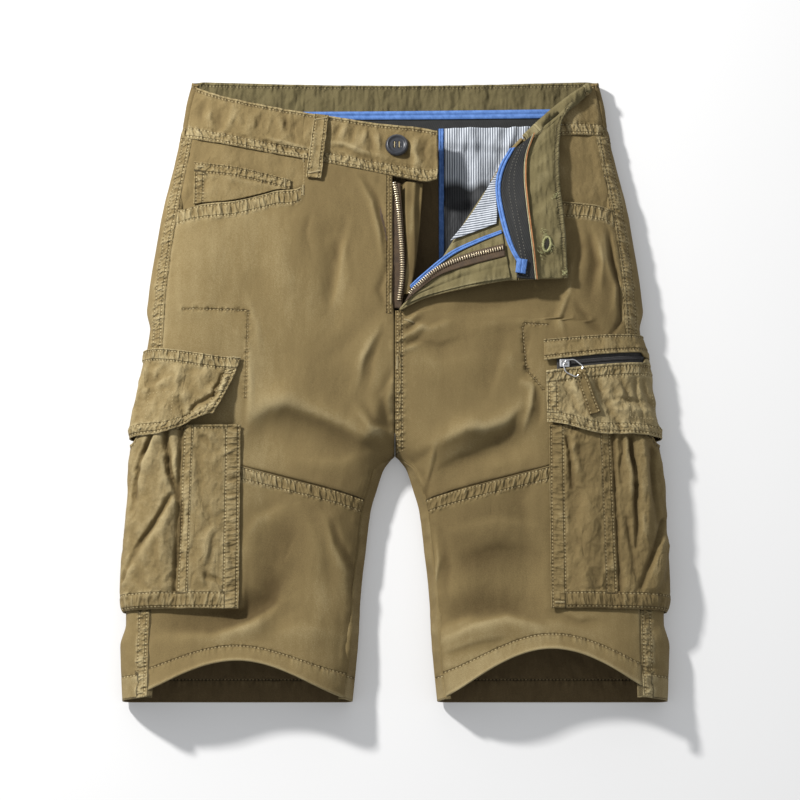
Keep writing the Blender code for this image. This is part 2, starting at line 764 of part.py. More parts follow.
def inside_of_flap():
    """Pieces on the turned-back corner, whose inner side is up."""
    panel_up, band_up = CLOTH + SEAM, BAND + ROUND_SEAM
    facing_edge = line((15, 81), (27, 91), (50, 110), (72, 121), (93, 129.5))
    strip("fly_facing_left", line((9, 68), (30, 76.5), (61, 83.5), (82, 86.5), (99, 88.5)), facing_edge,
          flap_z, panel_up, OLIVE, long=8, wide=3, flip=True)
    strip("fly_binding_left", line((14, 81.7), (26, 92), (49, 111), (71, 121.7), (92.5, 130)),
          line((13, 85), (24, 95.5), (47, 114.5), (69.5, 125.3), (92, 133.5)), flap_z, panel_up, BLUE,
          long=8, wide=1, flip=True)
    strip("zip_tape_left", line((8, 68.5), (19, 79), (38, 93), (62, 101), (95, 108.5)),
          line((12, 76.5), (22, 87), (40, 103), (62, 112.5), (94, 120)), flap_z,
          panel_up + BAG + SEAM, BROWN_TAPE, long=8, wide=1, flip=True)
    strip("pocket_bag_front_left", line((58, 134.5), (67, 149), (76, 163), (84, 176)),
          line((90, 134.5), (89.2, 149), (88.8, 163), (88.8, 176)), flap_z, panel_up, STRIPES, long=5,
          wide=3, flip=True)
    curtain_edge = line((107, 209), (99, 190), (96, 168), (97, 147), (101, 124), (104, 104), (105, 88.5))
    strip("curtain_left", curtain_edge,
          line((123, 224), (117.5, 205), (117, 182), (119, 158), (121.5, 133), (124, 110), (126, 87.5)),
          flap_z, band_up, CHARCOAL, long=8, wide=1, flip=True)
    strip("piping_left", line((102, 207), (93.3, 190), (90.3, 168), (91.3, 147), (95.3, 125)),
          line((105.8, 208.5), (97.8, 190), (94.8, 168), (95.8, 147), (99.6, 126)), flap_z, band_up, BLUE,
          wall=1.5, long=8, wide=1, flip=True)
    strip("piping_tab_left", line((103.5, 92.5), (105, 105)), line((111.5, 91.5), (113.5, 104)),
          flap_z, band_up, BLUE, wall=1.6, long=2, wide=1, flip=True)


# ---- Fly -----------------------------------------------------------------------------------------
def fly():
    under_front = CLOTH + SEAM
    strip("zip_tape_right", line((-12, 68), (-13, 120), (-13, 184)), line((3, 66), (5, 120), (3, 180)),
          top, -under_front - BAG, BROWN_TAPE, long=6, wide=1)
    strip("fly_shield", line((-16, 76), (-16, 130), (-16, 183)), line((14, 80), (23, 130), (29.5, 180)),
          lambda x, y: top(x, y) - 3.5 * ease(x / 40), -under_front - BAG - SEAM - CLOTH, OLIVE,
          wall=CLOTH, long=6, wide=3)


def facing_up(x, y, reach=8.0):
    """Unit direction away from the front at a place."""
    slope_x = (top(x + reach, y) - top(x - reach, y)) / (2 * reach)
    slope_y = (top(x, y + reach) - top(x, y - reach)) / (2 * reach)
    return Vector((-slope_x, -slope_y, 1)).normalized()


def disc(name, centre, up, radius, height, colour, segments=24, **finish):
    """A round plate with rounded edges, its underside at centre."""
    shape = bmesh.new()
    bmesh.ops.create_cone(shape, cap_ends=True, segments=segments, radius1=radius * MM,
                          radius2=radius * MM, depth=height * MM)
    thing = put(name, shape, colour, **finish)
    thing.location = world(centre + up * (height / 2))
    thing.rotation_euler = Vector((0, 0, 1)).rotation_difference(up).to_euler()
    round_edge = thing.modifiers.new("Edge", "BEVEL")
    round_edge.width = height * 0.3 * MM
    round_edge.segments = 2
    round_edge.limit_method = "ANGLE"
    return thing


def button():
    x, y = BUTTON
    up = facing_up(x, y)
    disc("button", Vector((x, y, top(x, y))) + up * BUTTON_GAP, up, BUTTON_RADIUS, BUTTON_HEIGHT, HORN,
         roughness=0.4)


# ---- Cargo pockets -------------------------------------------------------------------------------
POCKET_FRONT = 132.0          # where a cargo pocket starts, on the front
POCKET_BACK = 170.0           # where it ends, underneath
POCKET_BOTTOM = -195.0
POCKET_MOUTH = -37.0
FLAP_FOOT = -45.0
FLAP_CURL = 5.0               # how far the right flap's front corner curls up
ZIP_START = 130.0             # where the left pocket's flap and zip start, on the front
ZIP_HALF = 4.5                # half the width of the slot that shows the pocket's zip
ZIP_END = 0.595               # share of the way round at which the zip ends
ROUND_EDGE = [0.56, 0.59, 0.62, 0.65, 0.68, 0.71, 0.75]   # shares of the way, at the rolled side
MOUTH_SWELL = 0.85            # share of a pocket's swell that is left at its mouth

Swell = namedtuple("Swell", "share rise")
SWELL = {                     # how far a pocket's cloth stands out, from its front to its back edge
    RIGHT: (Swell(0, 0), Swell(0.08, 1.2), Swell(0.18, 2.6), Swell(0.26, 2.0), Swell(0.31, 0.4),
            Swell(0.36, 4.4), Swell(0.44, 6.0), Swell(0.52, 5.4), Swell(0.58, 4.0), Swell(0.72, 2.1),
            Swell(0.9, 2.1), Swell(1, 0)),
    LEFT: (Swell(0, 0), Swell(0.07, 1.8), Swell(0.16, 4.0), Swell(0.25, 3.2), Swell(0.31, 1.2),
           Swell(0.36, 2.6), Swell(0.44, 4.6), Swell(0.52, 5.0), Swell(0.58, 4.0), Swell(0.72, 2.1),
           Swell(0.9, 2.1), Swell(1, 0)),
}


@lru_cache(maxsize=None)
def wrap(y, start):
    """The leg's outer side from a place on the front round to the pocket's back edge, as points
    (across, z), unit outward directions, and how far each point is along."""
    edge, floor = outer(y), lift(outer(y), y)
    points = [(mix(start, edge, 1 - (1 - t) ** 2), 0) for t in steps(0, 1, 14)]
    points = [(across, top(across, y)) for across, _ in points]
    for angle in steps(0, 90, 6)[1:]:
        a = radians(angle)
        points.append((edge - EDGE + EDGE * cos(a), floor + EDGE - EDGE * sin(a)))
    points += [(across, lift(across, y)) for across in steps(edge - EDGE, POCKET_BACK, 5)[1:]]
    far = [0.0]
    for (a0, z0), (a1, z1) in zip(points, points[1:]):
        far.append(far[-1] + hypot(a1 - a0, z1 - z0))
    facing = []
    for k in range(len(points)):
        (a0, z0), (a1, z1) = points[max(k - 1, 0)], points[min(k + 1, len(points) - 1)]
        length = hypot(a1 - a0, z1 - z0)
        facing.append((-(z1 - z0) / length, (a1 - a0) / length))
    return points, facing, far


def round_leg(side, y, share, stand_off, start=POCKET_FRONT):
    """A point over the leg's side, `stand_off` outside it, at a share of the way round."""
    points, facing, far = wrap(y, start)
    goal = share * far[-1]
    k = next((n for n in range(1, len(far)) if far[n] >= goal - 1e-6), len(far) - 1)
    t = (goal - far[k - 1]) / (far[k] - far[k - 1])
    across = mix(points[k - 1][0], points[k][0], t) + stand_off * mix(facing[k - 1][0], facing[k][0], t)
    z = mix(points[k - 1][1], points[k][1], t) + stand_off * mix(facing[k - 1][1], facing[k][1], t)
    return side * across, y, max(z, 0.0)


SEWN = CLOTH + ROUND_SEAM     # stand-off of a piece's outer side where it is sewn down


def swell(side, share):
    return smooth(SWELL[side], share)


def cargo_body(side):
    def place(share, row):
        mouth = mix(POCKET_MOUTH, FLAP_FOOT - 5, ease((share - 0.5) / 0.1))
        y = mix(POCKET_BOTTOM, mouth, row)
        full = dome(row / 0.14) * mix(1, MOUTH_SWELL, row)
        return round_leg(side, y, share, SEWN + full * swell(side, share))

    columns = [0, 0.035, 0.08, 0.14, 0.2, 0.26, 0.31, 0.345, 0.4, 0.46, 0.52] + ROUND_EDGE + [0.82, 0.93, 1]
    rows = [0, 0.03, 0.09, 0.18, 0.34, 0.5, 0.66, 0.83, 1]
    return sheet(f"cargo_pocket_{NAME[side]}", columns, rows, place, OLIVE, flip=side < 0)


def flap_lift(side, share, row):
    """Stand-off of a cargo flap, from its foot, 0, to its sewn top, 1, clear of the pocket's mouth."""
    over_mouth = SEWN + CLOTH + 2 * ROUND_SEAM + MOUTH_SWELL * swell(side, share)
    over_mouth = mix(over_mouth, POCKET_LIFT, ease((share - 0.58) / 0.12))
    return mix(over_mouth, SEWN, ease(row))


def cargo_flap_right():
    def place(share, row):
        start = mix(0.15, 0.0, row ** 0.8)
        at = mix(start, 1, share)
        foot = mix(-29, FLAP_FOOT, ease(share / 0.35)) if share < 0.6 else FLAP_FOOT
        head = mix(22, 33, ease(share / 0.6))
        curl = FLAP_CURL * (1 - row) * (1 - ease(share / 0.22))
        return round_leg(RIGHT, mix(foot, head, row), at, flap_lift(RIGHT, at, row) + curl)

    columns = [0, 0.05, 0.12, 0.2, 0.28, 0.36, 0.44, 0.52] + ROUND_EDGE + [0.85, 1]
    return sheet("cargo_flap_right", columns, steps(0, 1, 5), place, OLIVE, flip=True)


def zip_y(share):
    return mix(14.5, 25.5, clamp(share / ZIP_END))


def zip_half(share):
    """Half the slot between the welt and the flap; it closes where the zip ends."""
    return mix(ZIP_HALF, ROUND_SEAM / 2, ease((share - ZIP_END + 0.03) / 0.03))


OVER_ZIP = BAG + CLOTH + 2 * ROUND_SEAM


def left_flap_point(share, y):
    """A point of the left cargo flap's outer side, at a share of its way round."""
    foot, head = mix(-35, FLAP_FOOT, ease(share / 0.3)), zip_y(share) - zip_half(share)
    off = mix(flap_lift(LEFT, share, 0), OVER_ZIP, ease((y - foot) / (head - foot) / 0.7))
    return round_leg(LEFT, y, share, off, start=ZIP_START)


def left_flap_z(x, y):
    """Height of the left cargo flap's outer side at a place of its front."""
    low, high = 0.0, 0.5
    for _ in range(20):
        share = (low + high) / 2
        if left_flap_point(share, y)[0] < x:
            low = share
        else:
            high = share
    return left_flap_point(low, y)[2]


def cargo_flap_left():
    def welt(share, row):
        head = mix(38, 46, clamp(share / 0.6))
        y = mix(zip_y(share) + zip_half(share), head, row)
        return round_leg(LEFT, y, share, mix(OVER_ZIP, SEWN, ease(row)), start=ZIP_START - 2)

    def flap(share, row):
        foot = mix(-35, FLAP_FOOT, ease(share / 0.3))
        return left_flap_point(share, mix(foot, zip_y(share) - zip_half(share), row))

    def tape(share, row):
        y = zip_y(share) + (ZIP_HALF + 3) * row
        return round_leg(LEFT, y, share, ROUND_SEAM + BAG, start=ZIP_START)

    columns = [0, 0.06, 0.14, 0.22, 0.3, 0.38, 0.46, 0.53] + ROUND_EDGE + [0.85, 1]
    sheet("cargo_welt_left", columns, steps(0, 1, 2), welt, OLIVE)
    sheet("cargo_flap_left", columns, steps(0, 1, 4), flap, OLIVE)
    sheet("cargo_zip_tape", [c for c in columns if 0 < c < ZIP_END], [-1, 0, 1], tape, BLACK_TAPE, wall=BAG)


# ---- Zip slider with its ring and pull tab -------------------------------------------------------
SLIDER_X = 145.5              # where the slider stands on the left cargo pocket's zip
SLIDER_LENGTH, SLIDER_WIDTH, SLIDER_HEIGHT = 8.5, 7.0, 2.4
WIRE = 0.6                    # radius of the ring's wire, and of the bail over it
WIRE_SIDES = 8
BAIL_REACH = 2.7              # half the bail's span along the pull
BAIL_RISE = 2.6               # from the slider's top to the middle of the bail's wire
HINGE_RISE = 1.2              # from the slider's top to the axis the ring turns about
PULL_ANGLE = -33.0            # direction of the pull in plan, from +X
PULL_TILT = 5.0               # how much it rises towards its far end
RING_END = 15.6               # from the hinge to the ring's far wire
RING = (                      # half of the ring, as (along the pull, beside it)
    (0, 0.7), (0, 1.9), (0.8, 3.0), (4.2, 5.9), (6.4, 6.6), (13.6, 5.8), (15.0, 5.2), (RING_END, 4.0),
    (RING_END, 1.4),
)
TAB_ANGLE = -71.0             # direction of the cloth tab past the ring
TAB_LENGTH = 38.0
TAB_WALL = 0.8
TAB_LOOP = WIRE + SEAM + TAB_WALL     # outer radius of the tab's loop round the ring


def pull_frame():
    """Hinge point, and unit directions along the pull, beside it and away from the garment."""
    share = 0.1
    for _ in range(12):
        x, y, z = round_leg(LEFT, zip_y(share), share, ROUND_SEAM + BAG, start=ZIP_START)
        share += (SLIDER_X - x) / 150
    up = facing_up(x, y)
    beside = up.cross(direction(PULL_ANGLE)).normalized()
    up = up.lerp(beside.cross(up), -sin(radians(PULL_TILT))).normalized()
    foot = Vector((x, y, z)) + facing_up(x, y) * SEAM
    return foot, beside.cross(up), beside, up


def direction(angle):
    return Vector((cos(radians(angle)), sin(radians(angle)), 0))


def wire(shape, path, plane, closed):
    """Adds a round wire along a path that lies in a plane, given by its normal."""
    count = len(path)
    loops = []
    for k, point in enumerate(path):
        before = path[k - 1] if closed or k else point
        after = path[(k + 1) % count] if closed or k < count - 1 else point
        side = plane.cross((after - before).normalized())
        loops.append([shape.verts.new(world(point + (side * cos(a) + plane * sin(a)) * WIRE))
                      for a in steps(0, 2 * pi, WIRE_SIDES)[:-1]])
    for k in range(count if closed else count - 1):
        one, two = loops[k], loops[(k + 1) % count]
        for n in range(WIRE_SIDES):
            shape.faces.new((one[n], one[n - 1], two[n - 1], two[n]))
    if not closed:
        shape.faces.new(loops[0])
        shape.faces.new(loops[-1][::-1])
    bmesh.ops.recalc_face_normals(shape, faces=shape.faces[:])


def zip_slider():
    foot, along, beside, up = pull_frame()
    body_up = facing_up(foot.x, foot.y)
    body = bmesh.new()
    bmesh.ops.create_cube(body, size=1.0)
    bmesh.ops.scale(body, vec=Vector((SLIDER_LENGTH, SLIDER_WIDTH, SLIDER_HEIGHT)) * MM, verts=body.verts)
    slider = put("cargo_zip_slider", body, STEEL, roughness=0.35, metallic=1.0)
    slider.location = world(foot + body_up * SLIDER_HEIGHT / 2)
    slider.rotation_euler = Vector((0, 0, 1)).rotation_difference(body_up).to_euler()
    rounded = slider.modifiers.new("Edge", "BEVEL")
    rounded.width = 0.7 * MM
    rounded.segments = 2

    arch = bmesh.new()
    crown = foot + body_up * SLIDER_HEIGHT
    path = [crown + along * BAIL_REACH * cos(a) + body_up * (mix(-1.0, BAIL_RISE, sin(a)))
            for a in steps(0, pi, 10)]
    wire(arch, path, beside, closed=False)
    bail = put("bail_cutter", arch, STEEL)
    bail.hide_render = True
    joined = slider.modifiers.new("Bail", "BOOLEAN")
    joined.operation = "UNION"
    joined.object = bail
    joined.solver = "EXACT"


def zip_pull():
    foot, along, beside, up = pull_frame()
    hinge = foot + facing_up(foot.x, foot.y) * (SLIDER_HEIGHT + HINGE_RISE)
    loop = list(RING) + [(p, -q) for p, q in reversed(RING)]
    ring = bmesh.new()
    wire(ring, [hinge + along * p + beside * q for p, q in loop], up, closed=True)
    put("cargo_zip_pull", ring, STEEL, roughness=0.3, metallic=1.0)

    far = hinge + along * RING_END
    turned = direction(TAB_ANGLE)
    places = steps(TAB_LENGTH, 0, 12)
    path = ([(s, 90) for s in places] + [(0, a) for a in (125, 160, 200, 235)]
            + [(s, 270) for s in reversed(places)])

    def place(column, row):
        s, angle = path[row]
        width = mix(2.6, 4.9, ease((s - 2) / 9))
        bend = ease(s / 8)
        heading = along.lerp(turned, bend).normalized()
        side = beside.lerp(Vector((-turned.y, turned.x, 0)), bend).normalized()
        point = far + heading * s + side * column * width
        level = left_flap_z(point.x, point.y) + ROUND_SEAM / 2 + TAB_WALL + SEAM / 2
        point.z = mix(point.z, level, ease((s - 1) / 9))
        loop_radius = mix(TAB_LOOP, TAB_WALL + SEAM / 2, ease((s - 1) / 6))
        a = radians(angle)
        return point + up * loop_radius * sin(a) + along * loop_radius * cos(a)

    sheet("cargo_pull_tab", steps(-1, 1, 3), list(range(len(path))), place, OLIVE, wall=TAB_WALL)


# ---- Run -----------------------------------------------------------------------------------------
clear_scene()
GARMENT = bpy.data.collections.new("cargo_shorts")
bpy.context.scene.collection.children.link(GARMENT)

front_right_upper()
front_left_upper()
for side in (RIGHT, LEFT):
    front_lower(side)
    back(side)
    hip_facing(side)
    cargo_body(side)
waistband_front_right()
waistband_front_left()
waistband_back()
belt_loops()
inside_of_back()
inside_of_flap()
fly()
coin_pocket()
cargo_flap_right()
cargo_flap_left()
zip_slider()
zip_pull()
button()
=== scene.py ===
"""Looks of the cargo shorts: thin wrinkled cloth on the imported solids, sewing, zips, light and camera.

Lengths are in millimetres, measured as in the part's source; world() turns them into metres. x runs to the
wearer's left, y to the waist, z up; "across" is the distance from the middle. A grid's C or A and R are the
shares along its columns and rows, and P its points. The last number of noise, pucker and crushed is a seed.
"""
from collections import namedtuple
from math import cos, pi, radians, sin

import bpy
import numpy as np
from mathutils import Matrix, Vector
from mathutils.bvhtree import BVHTree

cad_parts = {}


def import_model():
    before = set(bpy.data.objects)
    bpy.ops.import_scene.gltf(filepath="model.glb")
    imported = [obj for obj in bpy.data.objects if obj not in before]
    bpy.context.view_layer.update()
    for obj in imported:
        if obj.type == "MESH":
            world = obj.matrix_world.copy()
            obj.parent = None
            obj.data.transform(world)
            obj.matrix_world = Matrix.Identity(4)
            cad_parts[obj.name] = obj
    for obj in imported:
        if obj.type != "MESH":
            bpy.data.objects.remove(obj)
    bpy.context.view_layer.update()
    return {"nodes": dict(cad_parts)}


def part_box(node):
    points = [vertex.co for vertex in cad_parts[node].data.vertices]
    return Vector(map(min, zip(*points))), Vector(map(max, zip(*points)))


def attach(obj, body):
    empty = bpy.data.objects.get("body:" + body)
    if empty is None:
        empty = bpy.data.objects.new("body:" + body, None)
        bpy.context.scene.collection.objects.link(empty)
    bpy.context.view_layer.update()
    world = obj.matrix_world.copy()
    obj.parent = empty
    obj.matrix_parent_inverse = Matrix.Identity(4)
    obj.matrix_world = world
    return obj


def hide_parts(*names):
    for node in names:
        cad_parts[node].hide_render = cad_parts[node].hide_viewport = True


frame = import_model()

MM = 0.001
MIDDLE = np.array((0.0, 5.3, 0.0))
RIGHT, LEFT = -1, 1
NAME = {RIGHT: "right", LEFT: "left"}

# ---- Sizes shared with the solids ----------------------------------------------------------------
# walls of cloth, bag and band; gap at a seam, at one that goes round an edge; radius of the garment's edge
CLOTH, BAG, BAND, SEAM, ROUND_SEAM, EDGE = 1.2, 1.0, 3.0, 0.3, 1.0, 8.0
SIDE_ROUND, INNER_ROUND = 62.0, 50.0
WAIST, WAIST_SAG, HEM, BACK_SEAM, BACK_DROP = 281.0, 3.5, -270.0, 236.0, 14.0
CROTCH, FLY_END, POCKET_LIFT, LOOP_LIFT, POCKET_BULK = -57.5, 64.0, 3.6, 2.4, 5.5
FLY_SET_BACK, CRUMPLE, BAND_JOIN = 2.2, 22.0, 3.5
LOOP_WIDTH, LOOP_WALL = 13.0, 1.6
HIP_INNER, HIP_TUCK = 80.5, 14.0
FOLD_SEAM, FOLD_TOP, FOLD_HIP = 221.0, 272.0, 177.0
TURN_GAP, TURN_RISE = 3.5, 11.0
POCKET_FRONT, POCKET_BACK, POCKET_BOTTOM, POCKET_MOUTH, FLAP_FOOT = 132.0, 170.0, -195.0, -37.0, -45.0
ZIP_START, ZIP_HALF, ZIP_END, MOUTH_SWELL = 130.0, 4.5, 0.595, 0.85
SEWN = CLOTH + ROUND_SEAM
OVER_ZIP = BAG + CLOTH + 2 * ROUND_SEAM

# outline and crown height of one half: (y, half-width, inside edge of the leg, height)
BODY = (
    (-275, 231.0, 36.6, 44), (-248, 232.8, 33.6, 41), (-218, 234.3, 31.1, 38), (-179, 235.0, 29.1, 35),
    (-140, 233.8, 24.9, 34), (-106, 232.3, 20.7, 34), (-88, 231.3, 15.5, 34), (-70, 230.5, 9.5, 35),
    (-57.5, 229.8, 0.2, 35), (-46, 229.0, -7, 36), (-29, 228.0, -17, 37), (-3, 225.5, -35, 38),
    (31, 221.5, -50, 38), (56, 218.0, -52, 38), (99, 213.6, -52, 37), (126, 209.7, -52, 36),
    (156, 204.9, -52, 34), (190, 197.5, -52, 31), (223, 190.1, -52, 28), (254, 185.2, -52, 25),
    (283, 179.0, -52, 22),
)
SIDE_SEAM = ((-275, 208), (-200, 208), (-60, 206), (37, 201), (80, 199), (113, 196), (150, 191),
             (175, 187), (224, 178.5), (283, 171))
HIP_MOUTH = ((80.5, 177), (87, 174), (104, 172.5), (117, 169), (143, 163), (172, 161), (192, 157))
WAIST_SEAM = ((-186, 225), (-150, 217), (-112, 209), (-74, 202), (-13, 189.5), (8, 185.5), (34, 182.3),
              (115, 221), (146, 225.5), (186, 227))
WAIST_TOP = ((-181, 275), (-160, 265), (-131, 256.5), (-103, 250.5), (-74, 245), (-48, 241),
             (-13, 235.3), (20, 232), (37, 228.5))
COIN_TOP = ((-176, 202), (-168, 200), (-135, 194.5), (-91, 183))
FOLD_LINE = ((64, 3.5), (81, 17), (98, 32), (123, 48.5), (146.5, 62.5), (182.5, 84.5), (211.6, 102),
             (228.8, 118), (243.4, 133), (260.8, 153), (272, 168))
# edges of the turned-back corner: (share of the way, x, y)
FLAP_CENTRE = ((0, 4, 63), (0.23, 28, 74), (0.5, 61, 81), (0.82, 94, 86.5), (1, 105, 87))
FLAP_SEAM = ((0, 116, 217), (0.2, 105, 196), (0.4, 101, 170), (0.6, 101, 145), (0.8, 104, 118),
             (1, 106, 87))
FLAP_TOP = ((0, 173, 268), (0.1, 158, 256), (0.2, 147.5, 241), (0.33, 144, 222), (0.55, 143, 182),
            (0.75, 146.5, 137), (1, 149, 91))


def rows_of(kind, rows):
    return tuple(kind(*row) for row in rows)


Fold = namedtuple("Fold", "x1 y1 x2 y2 width depth")
FOLDS = rows_of(Fold, (
    # the solids' large folds; a trough has a negative depth
    (-124, -22, -94, -14, 15, 2.5), (-94, -14, -30, -44, 15, 3.0), (-112, -44, -50, -60, 16, -3.0),
    (-110, -118, -72, -172, 24, -4.0), (-52, -118, -40, -165, 9, 2.5), (-135, -176, -100, -200, 11, -4.0),
    (-170, -214, -118, -206, 10, 2.5), (-57, 132, -51, 62, 11, -2.5), (-95, 120, -80, 20, 22, 1.5),
    (30, -58, 62, -42, 12, 3.0), (62, -42, 110, -28, 13, 3.0), (52, -68, 108, -52, 14, -3.5),
    (42, -140, 128, -172, 26, -4.5), (38, -225, 132, -204, 12, 3.0), (96, 40, 112, -10, 18, -1.5),
    (150, 130, 138, 66, 13, -2.0), (-6, -8, -24, -46, 8, 2.0),
))
HEM_ARCH = {RIGHT: (30.0, 9.0, 1.6), LEFT: (40.0, 11.0, 1.4)}      # retreat, flare, power
FLARE_LENGTH = 14.0
LEG_INNER, LEG_OUTER = 36, 231
HEM_DEPTH, HEM_DEPTH_MIDDLE = 21.5, 12.5      # of the hem's stitches, at the leg's sides and its middle
SWELL = {
    RIGHT: ((0, 0), (0.08, 1.2), (0.18, 2.6), (0.26, 2.0), (0.31, 0.4), (0.36, 4.4), (0.44, 6.0),
            (0.52, 5.4), (0.58, 4.0), (0.72, 2.1), (0.9, 2.1), (1, 0)),
    LEFT: ((0, 0), (0.07, 1.8), (0.16, 4.0), (0.25, 3.2), (0.31, 1.2), (0.36, 2.6), (0.44, 4.6),
           (0.52, 5.0), (0.58, 4.0), (0.72, 2.1), (0.9, 2.1), (1, 0)),
}


# ---- Small mathematics, on arrays ----------------------------------------------------------------
def mix(a, b, t):
    return a + (b - a) * t


def clamp(t):
    return np.clip(t, 0.0, 1.0)


def ease(t):
    t = clamp(t)
    return t * t * (3 - 2 * t)


def dome(t):
    return np.sqrt(1 - (1 - clamp(t)) ** 2)


def bell(d, width):
    return np.exp(-(d / width) ** 2)


def band(d, low, high, soft=1.5):
    """1 between two distances, with soft ends."""
    return ease((d - low) / soft + 0.5) * ease((high - d) / soft + 0.5)


def smooth(table, place, column=1):
    """A table's column read along a smooth curve; its first column is the place."""
    places = np.array([row[0] for row in table], dtype=float)
    values = np.array([row[column] for row in table], dtype=float)
    slopes = np.empty_like(values)
    slopes[1:-1] = (values[2:] - values[:-2]) / (places[2:] - places[:-2])
    slopes[0] = (values[1] - values[0]) / (places[1] - places[0])
    slopes[-1] = (values[-1] - values[-2]) / (places[-1] - places[-2])
    at = np.clip(place, places[0], places[-1])
    k = np.clip(np.searchsorted(places, at), 1, len(places) - 1)
    run = places[k] - places[k - 1]
    t = (at - places[k - 1]) / run
    return ((2 * t ** 3 - 3 * t ** 2 + 1) * values[k - 1] + (t ** 3 - 2 * t ** 2 + t) * run * slopes[k - 1]
            + (3 * t ** 2 - 2 * t ** 3) * values[k] + (t ** 3 - t ** 2) * run * slopes[k])


def through(table, share):
    return np.stack((smooth(table, share, 1), smooth(table, share, 2)), -1)


def line(*points):
    """A table of (share, x, y) at even shares through the points."""
    return tuple((k / (len(points) - 1), x, y) for k, (x, y) in enumerate(points))


def grid(columns, rows):
    """The share across and the share along, at each point of a grid."""
    return np.meshgrid(np.linspace(0, 1, columns), np.linspace(0, 1, rows))


def join(*spans):
    """Even places over spans (start, stop, count) that follow each other."""
    return np.concatenate([np.linspace(*span)[:-1] for span in spans[:-1]] + [np.linspace(*spans[-1])])


def xyz(x, y, z):
    return np.stack((x, y, z), -1)


def parts(points):
    """The coordinates of points, each as an array of its own."""
    return np.moveaxis(points, -1, 0)


def pick(mask, a, b):
    """The points a where the mask is set, and b elsewhere."""
    return np.where(mask[..., None], a, b)


def unit(v):
    return v / np.maximum(np.linalg.norm(v, axis=-1, keepdims=True), 1e-9)


def by_line(x, y, x1, y1, x2, y2):
    """How a place stands to a line: its share along, the line's run, and the gap in x and in y."""
    run = np.array((x2 - x1, y2 - y1), dtype=float)
    t = clamp(((x - x1) * run[0] + (y - y1) * run[1]) / run.dot(run))
    return t, run, x - x1 - run[0] * t, y - y1 - run[1] * t


def noise(u, v, seed):
    """Smooth noise from -1 to 1, one cell per unit."""
    lattice = np.random.RandomState(seed).uniform(-1, 1, (97, 97))
    iu, iv = np.floor(u).astype(int), np.floor(v).astype(int)
    fu, fv = ease(u - iu), ease(v - iv)
    a, b = lattice[iu % 97, iv % 97], lattice[(iu + 1) % 97, iv % 97]
    c, d = lattice[iu % 97, (iv + 1) % 97], lattice[(iu + 1) % 97, (iv + 1) % 97]
    return mix(mix(a, b, fu), mix(c, d, fu), fv)


def world(points):
    return (np.asarray(points) - MIDDLE) * MM


# ---- The solids' shape ---------------------------------------------------------------------------
def lift(across, y):
    pocket = POCKET_LIFT * ease((across - 142) / 26) * ease((y + 228) / 24) * ease((74 - y) / 22)
    return pocket + LOOP_LIFT * ease((y - 192) / 28)


def outer(y):
    return smooth(BODY, y, 1) - POCKET_BULK * ease((y + 224) / 20) * ease((72 - y) / 20)


def inner(y):
    return smooth(BODY, y, 2)


def rim(across, y):
    return EDGE + lift(outer(y), y) * ease((across - 100) / 60)


def under_pocket(x, y):
    return ease((np.abs(x) - 108) / 26) * ease((y + 222) / 20) * ease((62 - y) / 20)


def fold_relief(x, y, folds=FOLDS):
    total = 0.0
    for fold in folds:
        total = total + fold.depth * bell(np.hypot(*by_line(x, y, *fold[:4])[2:]), fold.width)
    return total * (1 - under_pocket(x, y))


def crease_relief(u, v, folds):
    """Wrinkles, steep on one side and soft on the other, uneven along their run."""
    total = 0.0
    for fold in folds:
        t, run, gap_u, gap_v = by_line(u, v, *fold[:4])
        bend = 1.5 * noise(t * 3 + fold.x1, 0 * t, 221)
        width = fold.width * np.where(gap_u * run[1] - gap_v * run[0] > 0, 1.15, 0.6)
        uneven = 0.55 + 0.45 * np.sin(pi * clamp(t + 0.15))
        total = total + fold.depth * bell(np.hypot(gap_u + bend, gap_v), width) * uneven
    return total


def leg_share(across):
    return clamp((across - LEG_INNER) / (LEG_OUTER - LEG_INNER))


def by_side(x, of):
    return np.where(x > 0, of(LEFT), of(RIGHT))


def front_hem(x):
    arch = np.sin(pi * leg_share(np.abs(x)))
    return HEM + by_side(x, lambda side: HEM_ARCH[side][0] * arch ** HEM_ARCH[side][2])


def top(x, y):
    """Height of the front's outer side in the solids."""
    across = np.abs(x)
    span = dome((outer(y) - across) / SIDE_ROUND) * dome((across - inner(y)) / INNER_ROUND)
    height = smooth(BODY, y, 3) + fold_relief(x, y)
    flare = by_side(x, lambda side: HEM_ARCH[side][1]) * np.sin(pi * leg_share(across))
    flare = flare * np.exp(-np.maximum(y - front_hem(x), 0) / FLARE_LENGTH)
    return mix(rim(across, y), height + flare, span)


def side_seam(y):
    return smooth(SIDE_SEAM, y)


def inseam(y):
    return np.maximum(inner(y), 0) + 7.0 * ease((CROTCH - y) / 18)


def knee_seam(x):
    return -52 - 0.25 * (213 - np.abs(x))


def mouth_y(across):
    return smooth(HIP_MOUTH, across)


def waist_seam(x):
    return smooth(WAIST_SEAM, x)


